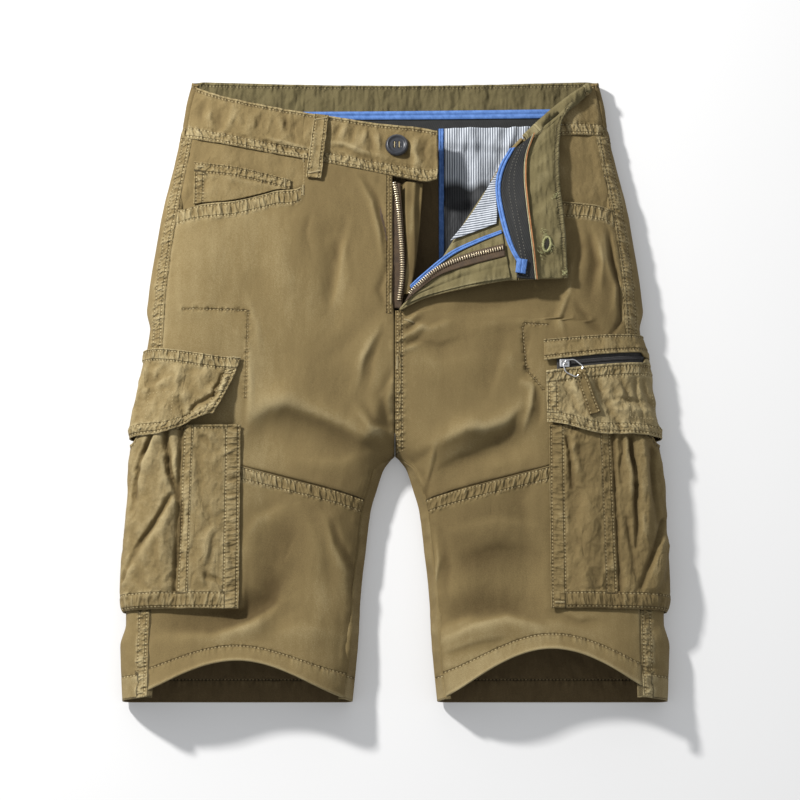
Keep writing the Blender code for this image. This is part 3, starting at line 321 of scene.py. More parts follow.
# ---- Creases, puckers and seams ------------------------------------------------------------------
Wrinkle = namedtuple("Wrinkle", "width depth points")
WRINKLES = rows_of(Wrinkle, (
    # smaller folds of the front, over the solids' large ones; a trough has a negative depth
    (8, 2.2, ((-20, -48), (-43, -37), (-68, -26), (-92, -19), (-109, -21), (-124, -31))),
    (14, -2.2, ((-116, -40), (-90, -31), (-64, -38), (-38, -50), (-16, -58))),
    (6, 0.7, ((-81, -67), (-47, -69), (-17, -59))),
    (5, -1.4, ((-3, 10), (-13, -11), (-6, -33), (-2, -50))),
    (4, 1.5, ((1, -43), (-13, -41), (-28, -50))),
    (5, -1.0, ((-52, 129), (-49, 107), (-54, 82), (-59, 64))),
    (5, 0.7, ((-43, 127), (-41, 95), (-47, 69))),
    (9, 1.0, ((-6, 57), (-20, 33), (-37, 10))),
    (8, -0.8, ((-12, 70), (-34, 44), (-56, 20))),
    (12, 0.8, ((-98, 138), (-96, 100), (-90, 60))),
    (4, 0.6, ((-128, 80), (-118, 50), (-116, 20))),
    (9, 0.9, ((-107, -222), (-80, -212), (-50, -215))),
    (12, 0.8, ((-120, -90), (-104, -130), (-96, -170))),
    (8, 0.7, ((-84, -104), (-70, -130), (-66, -165))),
    (5, -1.0, ((35, -76), (57, -64), (90, -60))),
    (9, 1.1, ((142, 73), (125, 55), (91, 54), (65, 47))),
    (9, -0.9, ((120, 80), (88, 70), (52, 64))),
    (4, -1.2, ((35, -60), (27, -90), (24, -137))),
    (5, 1.0, ((43, -138), (34, -166), (33, -186))),
    (4.5, 1.3, ((8, 57), (30, 47), (52, 55))),
    (4, -1.0, ((13, 39), (39, 33), (58, 40))),
    (8, 0.9, ((14, 26), (40, 16), (70, 22))),
    (5.5, -1.5, ((169, 140), (177, 107), (174, 73))),
    (4.5, -1.1, ((186, 134), (189, 95), (186, 70))),
    (5, 1.1, ((158, 127), (151, 91), (154, 66))),
    (7, 1.0, ((128, 206), (142, 196), (152, 186))),
    (6, -1.0, ((140, 216), (158, 204), (168, 190))),
    (5, -1.1, ((38, -235), (72, -226), (97, -222))),
    (8, -1.1, ((124, -76), (106, -102), (113, -137))),
    (7, 0.8, ((54, -86), (72, -100), (92, -98))),
    (6, 2.4, ((106, -22), (96, -34), (77, -41), (63, -40), (34, -54))),
    (10, -2.2, ((46, -76), (74, -57), (96, -47), (106, -31))),
    (2.6, 1.8, ((35, -54), (31, -71), (26, -90))),
    (5, -1.3, ((33, -58), (17, -66), (5, -57))),
    (2.6, 1.2, ((15, -69), (26, -90))),
    (2.8, 1.6, ((110, 2), (119, -3), (117, -20), (111, -41))),
    (4, -1.8, ((123, -5), (125, -19), (124, -33))),
    (3, -1.2, ((117, 43), (112, 27), (114, 4))),
    (10, -1.3, ((93, 41), (86, 15), (79, -10))),
    (8, 1.0, ((101, 29), (98, 10))),
    (2.8, 1.5, ((3, 50), (14, 57), (22, 64))),
    (2.8, -1.4, ((3, 45), (14, 51), (24, 58))),
    (2.8, 1.5, ((3, 39), (14, 44), (26, 52))),
    (2.8, -1.3, ((3, 32), (15, 37), (26, 44))),
    (2.8, 1.4, ((5, 28), (14, 32), (22, 35))),
    (2.4, -2.6, ((187, 137), (190, 111), (196, 86), (197, 58), (186, 41))),
    (4, 1.9, ((182, 134), (184, 111), (191, 86), (191, 61))),
    (5, -2.1, ((169, 134), (174, 107), (168, 73))),
    (4, 1.6, ((178, 127), (180, 107), (177, 82))),
    (4, -1.8, ((155, 73), (168, 54), (180, 45))),
    (4, 1.8, ((151, 82), (142, 57), (146, 43))),
    (7, -1.9, ((156, 140), (162, 122), (158, 102))),
    (15, -4.6, ((-96, -160), (-106, -186), (-124, -200), (-154, -209), (-198, -208))),
    (7, 2.0, ((-194, -219), (-152, -220), (-126, -211), (-108, -201), (-92, -188))),
    (12, 1.6, ((-64, -119), (-65, -154), (-62, -196))),
    (14, -1.4, ((-104, -119), (-101, -145), (-107, -167))),
    (5, -2.0, ((-53, -119), (-47, -137), (-36, -154), (-33, -188))),
    (5, 1.6, ((-59, -116), (-52, -141), (-41, -162), (-38, -193))),
    (8, 1.2, ((-135, -154), (-115, -119), (-89, -106))),
    (13, -3.6, ((126, -203), (93, -193), (63, -197), (36, -206))),
    (5, 1.6, ((38, -222), (67, -210), (95, -203), (127, -213))),
    (3, 1.5, ((35, -126), (37, -154), (33, -179))),
    (5, -1.4, ((42, -128), (45, -158), (42, -188))),
    (9, 1.3, ((49, -128), (89, -121), (123, -124))),
    (12, -1.4, ((55, -154), (89, -143), (127, -150))),
    (4, -1.2, ((135, -198), (156, -207), (173, -205))),
    (3.5, -1.6, ((-25, 184), (-15, 166), (-8, 137), (-4, 107))),
    (3.0, 1.3, ((-30, 183), (-20, 163), (-13, 134), (-10, 107))),
    (3.5, -1.3, ((-5, 107), (-13, 82), (-6, 63))),
    (5, -1.1, ((-43, 143), (-53, 107), (-56, 77))),
    (4.5, 0.6, ((-37, 143), (-46, 107), (-49, 75))),
    (4, -1.1, ((-9, 47), (-20, 20), (-23, -5))),
    (4, 1.2, ((-14, 47), (-27, 22), (-32, -5))),
    (4, -1.0, ((-3, 10), (-9, -15), (-6, -41))),
    (3, -1.3, ((-8, -40), (-18, -33), (-28, -19))),
    (3, 1.2, ((-9, -48), (-21, -40), (-33, -24))),
    (4, -0.9, ((-74, 152), (-77, 134), (-72, 107))),
    (6, 0.8, ((-138, 47), (-125, 27), (-117, -8))),
    (3, -1.2, ((-133, 2), (-128, -15), (-129, -41))),
    (3.5, 1.0, ((-126, 20), (-123, -1), (-124, -26))),
))
BAND_WRINKLES = rows_of(Wrinkle, (
    # the same on the right half of the waistband
    (1.8, -1.5, ((-96, 243), (-94, 229))),
    (3, 0.9, ((-100, 242), (-98, 227))),
    (2.2, -1.8, ((-112, 219), (-99, 214), (-81, 210), (-71, 208))),
    (2.4, 1.2, ((-112, 223), (-98, 218), (-80, 214), (-71, 211))),
    (3, -1.1, ((-57, 214), (-45, 213), (-31, 206), (-12, 202))),
    (3, 1.0, ((-56, 218), (-44, 217), (-29, 210), (-13, 206))),
    (3.5, -1.1, ((-166, 258), (-171, 247), (-168, 236))),
    (3, 1.1, ((-160, 254), (-163, 243), (-160, 234))),
    (3.5, -1.0, ((-152, 250), (-155, 238), (-150, 230))),
    (3, 0.9, ((-139, 249), (-144, 236), (-139, 227))),
    (3, -0.9, ((-130, 247), (-132, 232))),
    (3, -1.0, ((-116, 243), (-122, 229))),
    (3, 0.9, ((-108, 241), (-113, 227))),
    (3, -1.1, ((-84, 239), (-90, 229), (-87, 219))),
    (3, -1.2, ((-48, 234), (-52, 223))),
    (3, 1.1, ((-43, 232), (-46, 221))),
    (3, -1.2, ((-36, 232), (-38, 220))),
    (3, 1.2, ((-25, 230), (-27, 219))),
    (3, -1.3, ((-22, 229), (-19, 209))),
    (3, 1.1, ((-15, 227), (-13, 209))),
    (3.5, -1.2, ((13, 225), (8, 212), (15, 199))),
    (3.5, 1.2, ((20, 223), (17, 210), (22, 194))),
    (3.5, -1.2, ((29, 221), (25, 209), (31, 196))),
))


def wrinkle_relief(x, y, wrinkles=WRINKLES):
    """Long folds that fade in and out along their run, steeper on one side."""
    total = 0.0
    for wrinkle in wrinkles:
        spans = len(wrinkle.points) - 1
        best, at, side = np.full(x.shape, 1e9), np.zeros(x.shape), np.ones(x.shape)
        for k in range(spans):
            t, run, gap_x, gap_y = by_line(x, y, *wrinkle.points[k], *wrinkle.points[k + 1])
            far = np.hypot(gap_x, gap_y)
            near = far < best
            best, at = np.where(near, far, best), np.where(near, (k + t) / spans, at)
            side = np.where(near, gap_x * run[1] - gap_y * run[0], side)
        wobble = 1 + 0.25 * noise(at * 4 + wrinkle.width, at * 0, 231)
        width = wrinkle.width * wobble * np.where(side > 0, 1.3, 0.55)
        total = total + 1.2 * wrinkle.depth * bell(best, width) * np.sin(pi * mix(0.06, 0.94, at)) ** 0.8
    return total


def covered(x, y):
    """1 where a cargo pocket lies on the front, which is smooth there."""
    return ease((np.abs(x) - POCKET_FRONT + 8) / 6) * ease((y - POCKET_BOTTOM + 3) / 6) * ease((44 - y) / 8)


def crushed(u, v, seed):
    """Broken sharp ridges with soft hollows between, as in thin cloth that was dried crumpled."""
    bend = 5 * noise(u / 31, v / 27, seed + 1)
    ridges = np.exp(-7 * np.abs(noise((u + bend) / 17, (v - bend) / 22, seed)))
    return (ridges - 0.35) * clamp(0.35 + 1.3 * noise(u / 15, v / 18, seed + 2))


def pucker(along, d, width, height, pitch, seed):
    """Uneven short ridges across a seam's stitched band, which runs from d = 0 to its width."""
    window = band(d, 0.3, width, 3.0)
    waves = noise(along / pitch, d / (1.6 * width) + 7.3, seed)
    return height * window * (waves + 0.45 * noise(along / pitch * 2.3, d / width, seed + 1))


def stitched(d, *rows):
    """Grooves that sewing pulls into the cloth at distances from a seam."""
    return sum(-0.42 * bell(d - row, 0.9) for row in rows)


# ---- Sewn strips ---------------------------------------------------------------------------------
ROW = 10.0                    # where a strip's second row of stitches stands in "sew_across"
STITCH = 3.0                  # from one stitch to the next
NO_SEAM = 30.0                # "sew_across" where no strip is near
SEAM_REACH = 20.0             # how far beyond a strip its cloth still gathers
FAR_OFF = 99.0                # in place of that distance where a strip isn't sewn


def double_seam(d, along, first, second, on=True, gather=1.0):
    """A strip with two rows of stitches at distances from its edge.

    Gives what the material reads (across, along, gather) and how far each point is from the strip.
    """
    across = np.interp(d, (first - 10, first + 2, second - 2, second + 20), (-10, 2, ROW - 2, ROW + 20))
    reach = np.where(on & (d > -0.01), np.maximum(d - second, 0), FAR_OFF)
    return across, along + 0 * d, gather + 0 * d, reach


def edge_seam(d, along, second, on=True, gather=0.7):
    """One row of stitches at a distance from an edge, gathered close to them only."""
    return double_seam(d, along, -4.0, second, on, gather * bell(d - second, 4.0))


def line_seam(x, y, row):
    """One row of stitches along a line inside a panel."""
    t, run, *gap = by_line(x, y, *row)
    d = np.hypot(*gap)
    return ROW + d, t * np.hypot(*run), 0.8 + 0 * d, d


def nearest_seam(*seams):
    """What the material reads, from the nearest of the sewn strips at each point."""
    fields = [np.stack([seam[k] for seam in seams]) for k in range(4)]
    nearest = np.argmin(fields[3], axis=0)[None]
    across, along, gather, reach = (np.take_along_axis(field, nearest, 0)[0] for field in fields)
    return np.where(reach > SEAM_REACH, NO_SEAM, across), along, gather


class Seam(namedtuple("Seam", "first second low high raised reach height pitch seed")):
    """A sewn strip beside an edge.

    Two rows of stitches stand at distances from it, the allowance is raised from low to high, and the
    puckers have a reach, a height, a pitch along the edge and a noise of their own.
    """

    def relief(self, d, along, seed=0):
        return (self.raised * band(d, self.low, self.high) + stitched(d, self.first, self.second)
                + pucker(along, d, self.reach, self.height, self.pitch, self.seed + seed))

    def rows(self, d, along, on=True, gather=1.0):
        return double_seam(d, along, self.first, self.second, on, gather)


HIP_POCKET_SEAM = Seam(2.6, 12.6, -2, 14, 0.9, 15, 1.0, 8.5, 21)
COIN_FOOT_SEAM = Seam(2.2, 9.0, -2, 9, 0.5, 10, 0.5, 7.0, 101)
COIN_END_SEAM = Seam(2.4, 8.5, 0, 0, 0.0, 11, 0.45, 5.0, 102)
BACK_SIDE_SEAM = Seam(2.0, 8.4, 0.4, 9, 0.6, 11, 0.95, 6.0, 111)
BAND_FOOT_SEAM = Seam(1.6, 8.6, 0, 9, 0.5, 11, 0.85, 5.5, 0)
POCKET_FRONT_SEAM = Seam(1.8, 12.0, -3, 12.5, 0.5, 14, 0.85, 6.0, 231)
POCKET_FOOT_SEAM = Seam(1.8, 13.0, -3, 14, 0.5, 15, 0.9, 6.5, 251)
RIGHT_FLAP_HEAD_SEAM = Seam(2.0, 10.0, -3, 10, 0.5, 11, 0.75, 5.5, 271)
RIGHT_FLAP_FRONT_SEAM = Seam(2.2, 10.0, -3, 11, 0.5, 12, 0.6, 6.0, 272)
RIGHT_FLAP_FOOT_SEAM = Seam(2.2, 8.8, -3, 9, 0.5, 10, 0.7, 6.0, 273)
LEFT_FLAP_HEAD_SEAM = Seam(3.0, 10.5, 0, 0, 0.0, 10, 0.5, 6.5, 291)
LEFT_FLAP_FOOT_SEAM = Seam(2.2, 8.5, -3, 9, 0.5, 10, 0.8, 6.0, 292)
LEFT_FLAP_FRONT_SEAM = Seam(2.4, 9.5, 0, 0, 0.0, 10, 0.6, 5.0, 293)

# lines sewn through the front where the bags inside end: x1, y1, x2, y2
BAG_LINES = ((-184, 66, -128, 64), (-126.5, 62, -128, -14), (111, 52, 132, 51), (110, 50, 113, 14),
             (113, 12, 128, -6))
KNEE_ROWS, FLY_ROWS, CENTRE_ROWS = (1.6, 10.8), (1.4, 4.2), (2.2, 6.4)


def hem_depth(x):
    """How far the hem's row of stitches stands from its edge."""
    return mix(HEM_DEPTH, HEM_DEPTH_MIDDLE, np.sin(pi * leg_share(np.abs(x))))


def seam_relief(x, y):
    """What the seams do to the front panels: raised allowances, grooves and puckers."""
    across = np.abs(x)
    below_knee = knee_seam(x) - y
    knee = (0.6 * band(below_knee, 0.5, 12) - 0.8 * bell(below_knee + 0.2, 1.0)
            + pucker(x, below_knee, 12, 0.7, 5.0, 11) + pucker(x, -below_knee, 9, 0.3, 8.0, 12))
    below_mouth = mouth_y(across) - y
    mouth = HIP_POCKET_SEAM.relief(below_mouth, x) + pucker(x, below_mouth - 14, 8, 0.3, 8.0, 22)
    below_waist = waist_seam(x) - y
    waist = pucker(x, below_waist, 10, 0.35, 6.5, 31) - 0.5 * bell(below_waist, 1.4)
    centre = (stitched(x, *CENTRE_ROWS) + 0.5 * band(x, 0.6, 8.5) - 0.9 * bell(x, 0.9)
              + pucker(y, np.abs(x - 3) + 0.5, 8, 0.5, 5.0, 41))
    fly = 0.4 * band(-x, 0, 5) + pucker(y, -x, 7, 0.3, 6.0, 51)
    inside = across - inseam(y)
    inner_leg = pucker(y, inside, 7, 0.45, 6.5, 61) + stitched(inside, 2.0)
    beside = side_seam(y) - across
    side = pucker(y, beside, 7, 0.35, 6.5, 71) - 0.6 * bell(beside, 1.0)
    rise, depth = y - front_hem(x), hem_depth(x)
    hem = (0.6 * band(rise, -3, depth - 0.5) + stitched(rise, depth) + 0.4 * bell(rise, 1.6)
           + pucker(x, rise, depth, 0.35, 9.0, 81))
    return (knee + mouth * ease((across - HIP_INNER + 1) / 2) + waist
            + centre * ease((FLY_END - y + 4) / 6) * ease((y - CROTCH + 2) / 6)
            + fly * ease((y - FLY_END) / 8) * (x < 0) + inner_leg * ease((CROTCH - y) / 6) + side + hem)


def outline_relief(x, y):
    """Puckers along the stitched outlines of the bags inside."""
    total = 0.0
    for row in BAG_LINES:
        t, run, *gap = by_line(x, y, *row)
        d, along = np.hypot(*gap), t * np.hypot(*run)
        total = total - 0.7 * bell(d, 1.2) + 0.8 * bell(d, 4.5) * noise(along / 5.0, d / 9 + row[0], 91)
    return total


def soft_noise(x, y):
    """Unevenness of cloth that has been worn and washed."""
    return (0.55 * noise(x / 41, y / 34, 1) + 0.28 * noise(x / 19, y / 23, 2)
            + 0.10 * noise(x / 7.5, y / 8.5, 3))


def relief(x, y):
    """All that stands on or sinks into the solids' front, in millimetres."""
    bare = 1 - 0.75 * under_pocket(x, y)
    return (wrinkle_relief(x, y) * (1 - covered(x, y)) + soft_noise(x, y) * bare
            + (seam_relief(x, y) + outline_relief(x, y)) * (1 - under_pocket(x, y)))


def skin(x, y):
    """Height of the wrinkled front."""
    return top(x, y) + relief(x, y)


# ---- Materials -----------------------------------------------------------------------------------
WEAVE_UNIT = 6.283            # a weave divided by this is a wave texture's scale
TWILL_WEAVE = 1500.0          # 1000 makes about 507 waves in a metre
CLOTH_FIELDS = ("fade", "sew_across", "sew_along", "gather", "crumple")


def linear(colour):
    """A colour seen in 8-bit sRGB, as linear RGB."""
    return tuple(((c / 255 + 0.055) / 1.055) ** 2.4 for c in colour)


class Nodes:
    """Short names for building a material's nodes."""

    def __init__(self, name, roughness, metallic=0.0):
        self.material = bpy.data.materials.new(name)
        self.material.use_nodes = True
        self.tree = self.material.node_tree
        self.shader = self.tree.nodes["Principled BSDF"]
        self.shader.inputs["Roughness"].default_value = roughness
        self.shader.inputs["Metallic"].default_value = metallic
        self.place = self.add("ShaderNodeTexCoord").outputs["Object"]

    def add(self, kind, **facts):
        node = self.tree.nodes.new(kind)
        for key, value in facts.items():
            setattr(node, key, value)
        return node

    def link(self, source, target):
        self.tree.links.new(source, target)

    def feed(self, node, socket, value):
        if isinstance(value, bpy.types.NodeSocket):
            self.link(value, node.inputs[socket])
        else:
            node.inputs[socket].default_value = value

    def read(self, word):
        """A value kept with each point of the mesh."""
        return self.add("ShaderNodeAttribute", attribute_name=word).outputs["Fac"]

    def noise(self, scale, detail=2.0, rough=0.5, vector=None):
        node = self.add("ShaderNodeTexNoise")
        self.link(vector or self.place, node.inputs["Vector"])
        self.feed(node, "Scale", scale)
        self.feed(node, "Detail", detail)
        self.feed(node, "Roughness", rough)
        return node.outputs["Fac"]

    def math(self, kind, a, b=0.0):
        node = self.add("ShaderNodeMath", operation=kind)
        self.feed(node, 0, a)
        self.feed(node, 1, b)
        return node.outputs[0]

    def total(self, first, *parts):
        """first plus each (value, weight)."""
        for value, weight in parts:
            first = self.math("ADD", first, self.math("MULTIPLY", value, weight))
        return first

    def between(self, value, low, high):
        """0 at low to 1 at high, with soft ends."""
        node = self.add("ShaderNodeMapRange", interpolation_type="SMOOTHSTEP")
        for socket, number in ((0, value), (1, low), (2, high), (3, 0.0), (4, 1.0)):
            self.feed(node, socket, number)
        return node.outputs[0]

    def vector(self, x, y):
        node = self.add("ShaderNodeCombineXYZ")
        self.feed(node, 0, x)
        self.feed(node, 1, y)
        return node.outputs[0]

    def ramp(self, fac, low, high, start=0.0, end=1.0):
        node = self.add("ShaderNodeValToRGB")
        node.color_ramp.elements[0].position = start
        node.color_ramp.elements[1].position = end
        node.color_ramp.elements[0].color = (*low, 1)
        node.color_ramp.elements[1].color = (*high, 1)
        self.link(fac, node.inputs["Fac"])
        return node.outputs["Color"]

    def blend(self, fac, a, b, kind="MIX"):
        node = self.add("ShaderNodeMix", data_type="RGBA", blend_type=kind)
        self.feed(node, 0, fac)
        self.feed(node, 6, a)
        self.feed(node, 7, b)
        return node.outputs[2]

    def turned(self, angle, scale=(1, 1, 1)):
        node = self.add("ShaderNodeMapping")
        self.link(self.place, node.inputs["Vector"])
        node.inputs["Rotation"].default_value = (0, 0, radians(angle))
        node.inputs["Scale"].default_value = scale
        return node.outputs["Vector"]

    def waves(self, scale, vector, distortion=0.0):
        node = self.add("ShaderNodeTexWave", wave_type="BANDS", bands_direction="X")
        self.link(vector, node.inputs["Vector"])
        self.feed(node, "Scale", scale)
        self.feed(node, "Distortion", distortion)
        return node.outputs["Fac"]

    def bump(self, height, strength, distance):
        node = self.add("ShaderNodeBump")
        self.link(height, node.inputs["Height"])
        node.inputs["Strength"].default_value = strength
        node.inputs["Distance"].default_value = distance
        self.link(node.outputs["Normal"], self.shader.inputs["Normal"])

    def colour(self, source):
        self.link(source, self.shader.inputs["Base Color"])


def twill(name, deep, mid, pale, folds=0.0):
    """Washed cotton twill, with a deep, a plain and a pale colour, and soft long folds as strong as `folds`.

    The mesh's "fade" picks the colour, 0 deep, 0.5 plain, 1 pale: it holds worn dye together with painted
    shade and light. Puckers are painted pale on their ridges and dark in their troughs, stitch grooves are
    painted dark and crushed ridges pale. "sew_across" and
    "sew_along" place the rows of stitches, which stand at 0 and ROW across a sewn strip, in mm.
    """
    m = Nodes(name, 0.9)
    deep, mid, pale = linear(deep), linear(mid), linear(pale)
    fade, across, along, gather, crumple = (m.read(word) for word in CLOTH_FIELDS)
    to_second = m.math("ABSOLUTE", m.math("SUBTRACT", across, ROW))
    to_row = m.math("MINIMUM", m.math("ABSOLUTE", across), to_second)
    groove = m.between(to_row, 1.3, 0.35)
    dash = m.between(m.math("SINE", m.math("MULTIPLY", along, 2 * pi / STITCH)), -0.5, 0.1)
    thread = m.math("MULTIPLY", m.between(to_row, 0.75, 0.3), dash)
    strip = m.between(m.math("ABSOLUTE", m.math("SUBTRACT", across, ROW / 2)), 8.5, 5.0)
    slant = m.total(m.math("MULTIPLY", along, 0.31), (across, 0.045))
    ridges = m.noise(1.0, 0.8, 0.5, m.vector(slant, m.math("MULTIPLY", across, 0.10)))
    pucker = m.math("MULTIPLY", m.math("MULTIPLY", m.math("SUBTRACT", ridges, 0.5), strip), gather)
    cells = m.noise(1.0, 0.0, 0.5, m.turned(38, (66, 30, 45)))
    patch = m.between(m.noise(1.0, 0.0, 0.5, m.turned(0, (52, 52, 52))), 0.42, 0.6)
    puffed = m.between(m.math("ABSOLUTE", m.math("SUBTRACT", cells, 0.5)), 0.0, 0.045)
    broken = m.math("MAXIMUM", puffed, patch)
    broad = m.noise(1.0, 1.0, 0.5, m.turned(24, (60, 34, 48)))
    small = m.noise(1.0, 2.0, 0.5, m.turned(12, (150, 105, 120)))
    crushed = m.total(m.math("MULTIPLY", broken, 0.22), (broad, 3.0), (small, 2.2))
    crushed = m.math("MULTIPLY", crumple, crushed)

    streaks = m.math("SUBTRACT", m.noise(1.0, 3.0, 0.6, m.turned(4, (130, 34, 60))), 0.5)
    grain = m.math("SUBTRACT", m.noise(900.0, 2.0, 0.7), 0.5)
    # worn dye with painted light and shade: pale pucker ridges, dark pucker troughs and stitch grooves, pale
    # crushed ridges; paler thread, streaks and grain, darker where more crumpled
    worn_and_shaded = m.total(fade, (streaks, 0.20), (grain, 0.40), (pucker, 0.75), (groove, -0.38), (thread, 0.66),
                   (crushed, 0.13), (crumple, -0.28))
    ramp = m.add("ShaderNodeValToRGB")
    ramp.color_ramp.elements[0].color = (*deep, 1)
    ramp.color_ramp.elements[1].color = (*pale, 1)
    middle = ramp.color_ramp.elements.new(0.5)
    middle.color = (*mid, 1)
    m.link(worn_and_shaded, ramp.inputs["Fac"])
    lines = m.waves(TWILL_WEAVE / WEAVE_UNIT, m.turned(58))
    m.colour(m.blend(m.math("MULTIPLY", lines, 0.10), ramp.outputs["Color"], (*deep, 1)))
    soft = m.noise(1.0, 2.0, 0.5, m.turned(3, (75, 24, 60)))
    m.bump(m.total(m.math("MULTIPLY", pucker, 5.5), (groove, -0.8), (thread, 0.35), (lines, 0.08),
                   (m.noise(420.0, 2.0, 0.6), 0.12), (soft, folds), (crushed, 1.6)), 1.0, MM)
    m.shader.inputs["Specular IOR Level"].default_value = 0.22
    return m.material


def woven(name, low, high, weave=900.0, strength=0.25):
    """A plain tape, lining or binding."""
    m = Nodes(name, 0.8)
    m.colour(m.ramp(m.noise(240.0, 3.0, 0.6), linear(low), linear(high), 0.3, 0.7))
    m.bump(m.waves(weave / WEAVE_UNIT, m.turned(20)), strength, 0.0005)
    return m.material


def striped(name, angle, pitch):
    """Cotton with fine stripes, one dark line to each pitch in metres; a low "fade" paints shade on it, as in
    twill.
    """
    m = Nodes(name, 0.8)
    lines = m.waves(pi / (10 * pitch), m.turned(angle), distortion=0.5)
    colour = m.ramp(lines, linear((78, 84, 94)), linear((186, 191, 198)), 0.25, 0.7)
    shade = m.ramp(m.read("fade"), (0.05,) * 3, (1.0,) * 3, 0.1, 0.5)
    m.colour(m.blend(1.0, colour, shade, "MULTIPLY"))
    m.bump(m.noise(1.0, 3.0, 0.5, m.turned(8, (110, 45, 60))), 1.0, 2.2 * MM)
    return m.material


def hard(name, colour, roughness, metallic=0.0, scratch=0.12):
    """Metal or plastic, unevenly darker by the share `scratch`."""
    m = Nodes(name, roughness, metallic)
    colour = linear(colour)
    m.colour(m.ramp(m.noise(400.0, 3.0), [c * (1 - scratch) for c in colour], colour, 0.3, 0.7))
    m.bump(m.noise(900.0, 2.0), 0.08, 0.0003)
    return m.material


OLIVE = twill("olive_twill", (76, 62, 36), (115, 99, 65), (160, 146, 110))
OLIVE_INSIDE = twill("olive_twill_inside", (66, 58, 38), (101, 92, 62), (136, 126, 94), folds=9.0)
# a darker copy of the olive for the back's inside: partly unfaded dye, partly painted shade
OLIVE_BACK_INSIDE_SHADED = twill("olive_twill_back_inside_shaded", (58, 47, 28), (91, 76, 51), (128, 114, 84), folds=5.0)
CHARCOAL = woven("charcoal_lining", (14, 15, 15), (25, 26, 25), 1300.0, 0.35)
BLUE = woven("blue_binding", (58, 95, 154), (86, 123, 184), 1500.0)
STRIPES = striped("striped_bag", 0, 0.0021)
STRIPES_TURNED = striped("striped_bag_turned", 82, 0.0021)
BROWN_TAPE = woven("brown_tape", (50, 36, 20), (72, 54, 32), 1600.0)
BLACK_TAPE = woven("black_tape", (34, 33, 33), (50, 48, 46), 1600.0)
THREAD = woven("thread", (150, 134, 96), (186, 171, 132), 2500.0, 0.1)
DARK_THREAD = woven("dark_thread", (96, 92, 84), (126, 122, 112), 2500.0, 0.1)
ORANGE_EDGE = woven("orange_edge", (150, 100, 58), (176, 124, 78), 1500.0)
WHITE_PIPING = woven("pale_piping", (140, 134, 104), (168, 162, 130), 1500.0)
BRASS_TEETH = hard("zip_teeth_brass", (222, 206, 176), 0.3, 0.7)
BLACK_TEETH = hard("zip_teeth_black", (62, 60, 60), 0.4, 0.3)
STEEL = hard("zip_metal", (216, 216, 218), 0.22, 1.0)
BUTTON = hard("button_horn", (48, 50, 56), 0.34, 0.0, 0.35)
# painted shade: the colour of a dark sheet that stands for the inside of the buttonhole
SLOT_PAINTED_SHADE = woven("slot_painted_shade", (30, 26, 18), (44, 38, 26), 1500.0)
FRAY = woven("frayed_thread", (124, 122, 78), (178, 176, 130), 2500.0, 0.1)


# ---- Building cloth ------------------------------------------------------------------------------
def normals_of(P):
    return unit(np.cross(np.gradient(P, axis=1), np.gradient(P, axis=0)))


def blurred(field, times):
    for _ in range(times):
        wide = np.pad(field, 1, mode="edge")
        field = (wide[1:-1, :-2] + wide[1:-1, 2:] + wide[:-2, 1:-1] + wide[2:, 1:-1]) / 4
    return field


def put(name, data):
    """A new object in the scene."""
    thing = bpy.data.objects.new(name, data)
    bpy.context.scene.collection.objects.link(thing)
    return thing


def mesh_object(name, points, faces, material):
    """An object of points in millimetres and faces that all have the same number of corners."""
    faces = np.asarray(faces, dtype=np.int32)
    mesh = bpy.data.meshes.new(name)
    mesh.vertices.add(len(points))
    mesh.vertices.foreach_set("co", world(points).astype(np.float32).ravel())
    corners = faces.shape[1]
    mesh.loops.add(faces.size)
    mesh.loops.foreach_set("vertex_index", faces.ravel())
    mesh.polygons.add(len(faces))
    mesh.polygons.foreach_set("loop_start", np.arange(0, faces.size, corners, dtype=np.int32))
    mesh.update(calc_edges=True)
    mesh.shade_smooth()
    mesh.materials.append(material)
    return put(name, mesh)


SURFACES = {}                 # piece name to a tree of its outer side, for what is sewn on it


def wall_off(thing, thickness):
    """Thicken a surface inwards from its outer side."""
    shell = thing.modifiers.new("Wall", "SOLIDIFY")
    shell.thickness = thickness * MM
    shell.offset = -1.0
    return shell


def on_body(thing, body="garment"):
    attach(thing, body)


def quads(index):
    """Four corners for each cell of a grid of point numbers."""
    return np.stack((index[:-1, :-1], index[:-1, 1:], index[1:, 1:], index[1:, :-1]), -1).reshape(-1, 4)


def cloth(name, P, material, suffix="_cloth", in_solids=True, keep=None, wall=CLOTH, flip=False, fade=0.5,
          body="garment", crumple=0.15, sewn=(NO_SEAM, 0.0, 0.0), inside=None):
    """A piece of cloth from a grid P[row, column] of its outer side, thickened inwards.

    The name is that of the solid it replaces, unless in_solids is False. keep says which of the grid's
    faces there are, fade how worn the dye is at each point together with the shade and light painted on it,
    crumple how crushed the cloth is, sewn where its rows of stitches run, and inside is its inner side's
    material.
    """
    faces = quads(np.arange(P.shape[0] * P.shape[1]).reshape(P.shape[:2]))
    if keep is not None:
        faces = faces[keep.ravel()]
    if flip:
        faces = faces[:, ::-1]
    used, compact = np.unique(faces, return_inverse=True)
    compact = compact.reshape(-1, 4)
    points = P.reshape(-1, 3)[used]
    thing = mesh_object(name + suffix, points, compact, material)
    for word, values in zip(CLOTH_FIELDS, (clamp(fade), *sewn, crumple)):
        layer = thing.data.attributes.new(word, "FLOAT", "POINT")
        layer.data.foreach_set("value", np.broadcast_to(values, P.shape[:2]).ravel()[used].astype(np.float32))
    shell = wall_off(thing, wall)
    if inside:
        thing.data.materials.append(inside)
        shell.material_offset = 1
    on_body(thing, body=body)
    if in_solids:
        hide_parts(name)
    SURFACES[name] = BVHTree.FromPolygons([Vector(p) for p in points], compact.tolist())
    return thing


